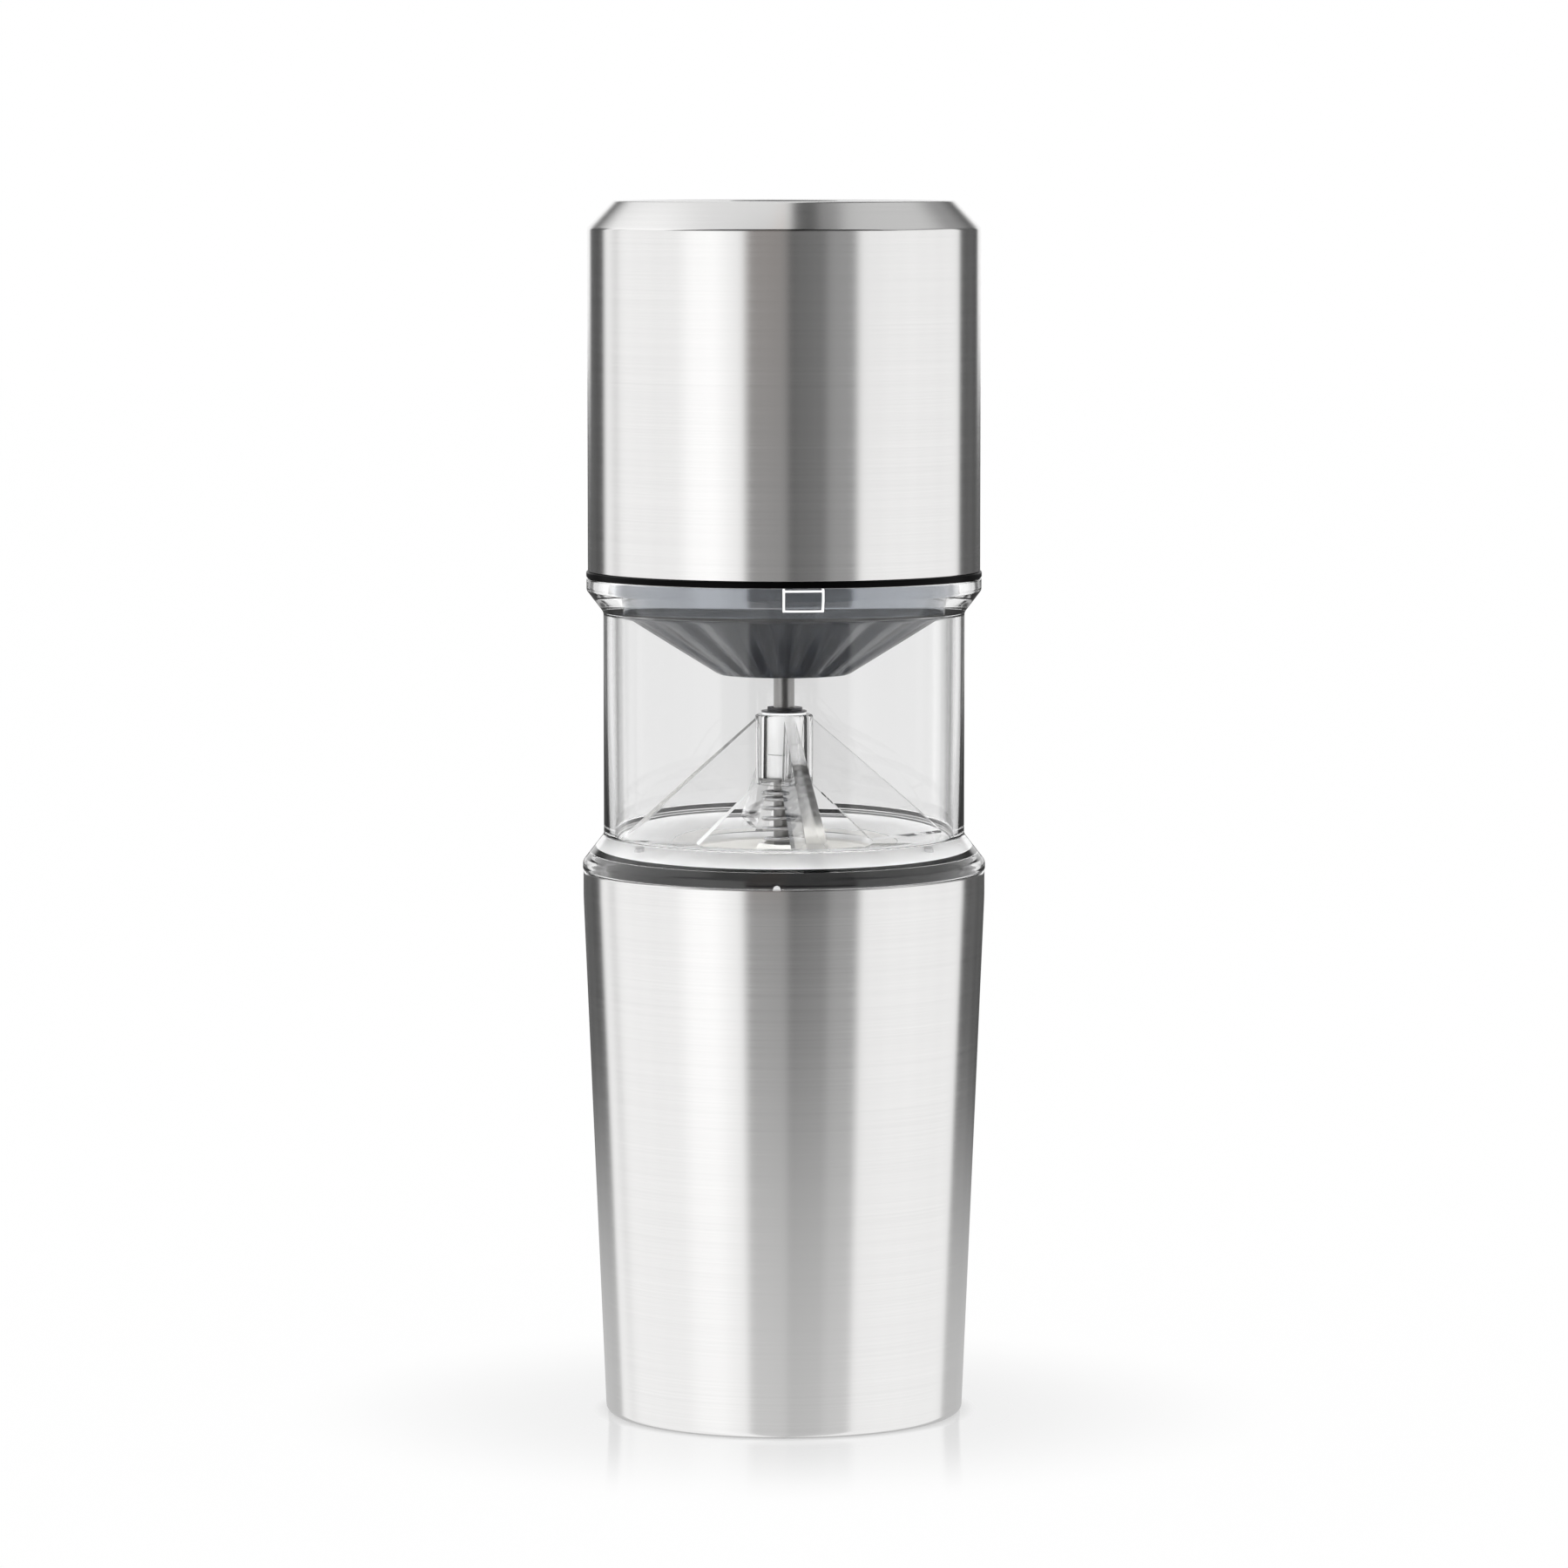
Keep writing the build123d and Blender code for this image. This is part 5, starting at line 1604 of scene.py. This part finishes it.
    def build(self) -> None:
        """Builds the head's outer pieces, the button and the cover."""
        self.dress(self.housing(), STEEL, Body.HEAD, "motor_housing")
        base = ("black_base", self.base(), CONE_BLACK, Body.HEAD, "motor_base")
        self.turn(*base, around=384, shape=self.grooved, sharp=55.0)
        inner = self.cone_top_radius - 0.2
        spigot = [
            (inner, self.spigot_bottom),
            (self.spigot_radius, self.spigot_bottom, 0.2),
            (self.spigot_radius, self.ring_bottom),
            (inner, self.ring_bottom),
        ]
        inner = self.bore - self.fit
        ring = block(inner, self.ring_radius, self.ring_bottom, self.ring_top, 0.3)
        wide, narrow = {"around": 256}, {"around": 128}
        for row, how in (
            # The black spigot takes a painted-reflection finish: grey-blue metal in place of glossy
            # black plastic.
            (("black_spigot", spigot, SPIGOT_PAINTED_REFLECTION, Body.HEAD, "motor_base"), wide),
            (("black_joint_ring", ring, DEEP_BLACK, Body.HEAD, "motor_base"), wide),
            (("button_ring", self.bezel(), GLOSS_BLACK, Body.HEAD, "button_bezel"), narrow),
            (("dished_button", self.button(), SATIN_BLACK, Body.BUTTON, "power_button"), narrow),
        ):
            self.turn(*row, **how)
        self.dress(self.cover(), SEAL, Body.COVER, "port_cover")
        low, high = self.spigot_bottom - self.seal_depth, self.spigot_bottom - 0.02
        seal = block(self.seal_inner, self.seal_outer, low, high)
        seal = [(*corner[:2], 0.1) for corner in seal]
        self.turn("flange_seal", seal, SEAL, Body.HOPPER, "head_seal")
        coil = Coil(self.spring_seat, self.spring_top, 0.35, 7.2, 7.2, 1.3, 1.3)
        ends = (Body.HEAD, coil.seat), (Body.BUTTON, coil.top)
        self.spring("button_return_spring", coil, *ends, "button_spring")


@dataclass(frozen=True)
class Panel:
    """A light panel or a lit wall, from one azimuth to another, in degrees."""

    start: float
    stop: float
    soft: float
    level: float


@dataclass
class Studio:
    """Camera, light and ground. Lengths in metres, angles in degrees."""

    dim_room: float = 0.11
    least_room: float = 0.05
    panels: tuple[Panel, ...] = (
        Panel(-131.0, -22.5, 3.0, 0.88),
        Panel(-60.0, -34.0, 9.0, 0.17),
        Panel(-121.0, -113.0, 3.0, -0.2),
        Panel(-22.5, 2.0, 3.0, 0.21),
        Panel(7.0, 25.0, 3.0, 0.06),
        Panel(25.0, 43.5, 3.0, 0.22),
        Panel(43.5, 125.0, 3.0, 0.86),
    )
    ripples: tuple[Corner, ...] = ((0.105, 0.012), (0.41, 0.01), (1.5, 0.014))
    backdrop_edge: Corner = (153.0, 161.0)
    backdrop_top: Corner = (0.12, 0.3)
    ceiling_edge: Corner = (0.25, 0.5)
    steep_edge: Corner = (0.45, 0.6)
    clear_edge: Corner = (168.0, 173.0)
    rim_band: Corner = (124.0, 130.0, 158.0, 164.0)
    front_band: Corner = (-24.0, -21.0, 42.0, 45.0)
    front_dimming: float = 0.65
    warm_band: Corner = (-26.0, -18.0, -4.0, 8.0)
    plain_level: float = 0.9
    clear_level: float = 0.77
    rim_level: float = 0.95
    inner_level: float = 3.7
    floor_level: float = 1.016
    white: Colour = (1.0, 1.0, 1.0)
    warm: Colour = (1.0, 0.93, 0.89)
    floor_colour: Colour = (0.95, 0.95, 0.95)
    floor_radius: float = 6.0
    floor_sides: int = 96
    touch_edge: Corner = (0.0335, 0.037)
    sheen_edge: Corner = (0.034, 0.1)
    sheen: float = 0.28
    distance: float = 1.367
    eye_height: float = 0.2418
    tilt: float = 5.084
    focal_px: float = 8273.0
    frame_px: float = 1800.0
    sensor: float = 36.0

    def camera(self) -> None:
        """The camera where the photograph was taken."""
        data = bpy.data.cameras.new("studio_camera")
        data.sensor_fit = "HORIZONTAL"
        data.sensor_width = self.sensor
        data.lens = self.sensor * self.focal_px / self.frame_px
        data.clip_start = 0.05
        camera = bpy.data.objects.new("studio_camera", data)
        camera.location = (0.0, -self.distance, self.eye_height)
        camera.rotation_euler = (radians(90.0 - self.tilt), 0.0, 0.0)
        bpy.context.scene.collection.objects.link(camera)
        bpy.context.scene.camera = camera

    def azimuth(self, x: Wire, y: Wire) -> Wire:
        """Degrees from the camera's side, to the right of it counted up."""
        return x.angle_to(y * -1.0) * (180 / pi)

    def room(self, azimuth: Wire) -> Wire:
        """How bright the studio is at eye level: panels at the sides, dim in front.

        Args:
            azimuth: The direction.

        Returns:
            The level.
        """
        level = self.dim_room
        for rate, height in self.ripples:
            level = (azimuth * rate).sine() * height + level
        for panel in self.panels:
            rise = azimuth.over(panel.start - panel.soft, panel.start + panel.soft)
            fall = azimuth.over(panel.stop - panel.soft, panel.stop + panel.soft)
            level = level + (rise - fall) * panel.level
        return level.at_least(self.least_room)

    def behind_clear(self, azimuth: Wire) -> Wire:
        """How bright the studio is through clear plastic: a narrow backdrop, else the room.

        Args:
            azimuth: The direction.

        Returns:
            The level.
        """
        away = azimuth.size()
        rim = away.within(*self.rim_band) * self.rim_level
        front = azimuth.within(*self.front_band) * self.front_dimming
        room = self.room(azimuth) * (1.0 - front)
        return room.mixed(self.clear_level, away.over(*self.clear_edge)) + rim

    def ceiling(self, x: Wire, y: Wire, z: Wire) -> Wire:
        """How bright the ceiling is: a soft box on the left, a gap, then lesser boxes.

        Args:
            x: Direction along X.
            y: Direction along Y; it is dark towards the camera.
            z: Direction along Z.

        Returns:
            The level.
        """
        level = x.over(0.02, 0.07) * -0.72 + x.over(-0.62, -0.42) * -0.25 + 1.09
        level = level + x.over(0.17, 0.21) * 0.2 + x.over(0.29, 0.34) * z.over(0.5, 0.7) * 0.3
        return level * (1.0 - (y * -1.0).over(0.16, 0.3) * 0.85)

    def rays(self, nodes: Nodes) -> list[Wire]:
        """Shares of camera, see-through, mirror and lighting rays.

        Args:
            nodes: The tree.

        Returns:
            The four shares.
        """
        names = ("Is Camera Ray", "Is Transmission Ray", "Is Glossy Ray", "Diffuse Depth")
        path = nodes.node("ShaderNodeLightPath")
        seen, through, glossy, depth = (Wire(nodes, path.outputs[name]) for name in names)
        return [seen, through, glossy, depth.at_most(1.0)]

    def world(self) -> None:
        """A white backdrop with soft bright sides and a darker room behind the camera."""
        world = bpy.data.worlds.new("studio_world")
        bpy.context.scene.world = world
        world.use_nodes = True
        nodes = Nodes(world.node_tree)
        x, y, z = nodes.split("ShaderNodeTexCoord", "Generated")
        azimuth, raised = self.azimuth(x, y), z.over(*self.ceiling_edge)
        backdrop = azimuth.size().over(*self.backdrop_edge) * self.plain_level
        level = self.room(azimuth) + backdrop * (1.0 - z.over(*self.backdrop_top))
        level = level.mixed(self.ceiling(x, y, z), raised)
        seen, through, _, plain = self.rays(nodes)
        inside = through * (self.inner_level - self.plain_level) + self.plain_level
        clear = self.behind_clear(azimuth).mixed(self.plain_level, raised)
        level = level.mixed(clear, through).mixed(inside, plain).mixed(1.0, seen)
        warm = azimuth.within(*self.warm_band) * (1.0 - seen) * (1.0 - plain)
        light = nodes.add("ShaderNodeBackground", nodes.tint(warm, self.white, self.warm), level)
        nodes.node("ShaderNodeOutputWorld", light)

    def ground(self) -> None:
        """A round white floor with a faint gloss near the cup."""
        material = bpy.data.materials.new("studio_floor_white")
        material.use_nodes = True
        nodes = Nodes(material.node_tree)
        x, y, _ = nodes.place()
        reach = (x * x + y * y) ** 0.5
        along, back, down = nodes.split("ShaderNodeNewGeometry", "Incoming")
        azimuth = self.azimuth(along * -1.0, back * -1.0)
        mirrored = self.room(azimuth).mixed(1.0, (1.0 - reach.over(0.03, 0.5)) * 0.5)
        clear = self.behind_clear(azimuth).mixed(self.plain_level, down.over(*self.steep_edge))
        seen, through, glossy, plain = self.rays(nodes)
        glossy = glossy * (1.0 - through)
        level = mirrored * glossy + clear * through + seen * self.floor_level
        level = level.mixed(self.inner_level, plain * through)
        touch = 1.0 - reach.over(*self.touch_edge)
        share = (seen * (0.9 - touch * 0.5) + through + glossy).at_most(1.0)
        lit = nodes.add("ShaderNodeBsdfDiffuse", (*self.floor_colour, 1.0))
        glow = nodes.add("ShaderNodeEmission", level)
        mix = nodes.add("ShaderNodeMixShader", share, lit, glow)
        gloss = nodes.add("ShaderNodeBsdfGlossy", Roughness=0.1)
        near = seen * (1.0 - reach.over(*self.sheen_edge)) * self.sheen
        sheen = nodes.add("ShaderNodeMixShader", near, mix, gloss)
        nodes.node("ShaderNodeOutputMaterial", sheen)
        turns = [TURN * index / self.floor_sides for index in range(self.floor_sides)]
        rim = [polar(self.floor_radius / MM, turn, 0.0) for turn in turns]
        floor = mesh_object("studio_floor", rim, [range(self.floor_sides)])
        floor.data.materials.append(material)

    def build(self) -> None:
        """Sets up the studio."""
        bpy.context.scene.view_settings.view_transform = "Standard"
        self.camera()
        self.world()
        self.ground()


def dress_nodes(frame: dict) -> None:
    """Gives every CAD node its procedural finish.

    Args:
        frame: The loaded frame.
    """
    for name, node in frame["nodes"].items():
        finish = FINISH_OF[name].material()
        if not node.material_slots:
            node.data.materials.append(finish)
        for slot in node.material_slots:
            slot.material = finish
        log.info("node %s takes %s", name, finish.name)


def main() -> None:
    """Builds the grinder round the frame and reports each piece."""
    logging.basicConfig(level=logging.INFO, format="%(message)s")
    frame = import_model()
    Studio().build()
    dress_nodes(frame)
    parts: list[Part] = [GroundsCup(), BeanHopper(), BurrSet(), ShaftLine(), MotorHead()]
    for part in parts:
        part.build()
        for name in part.made:
            log.info("built %s", name)


if __name__ == "__main__":
    main()
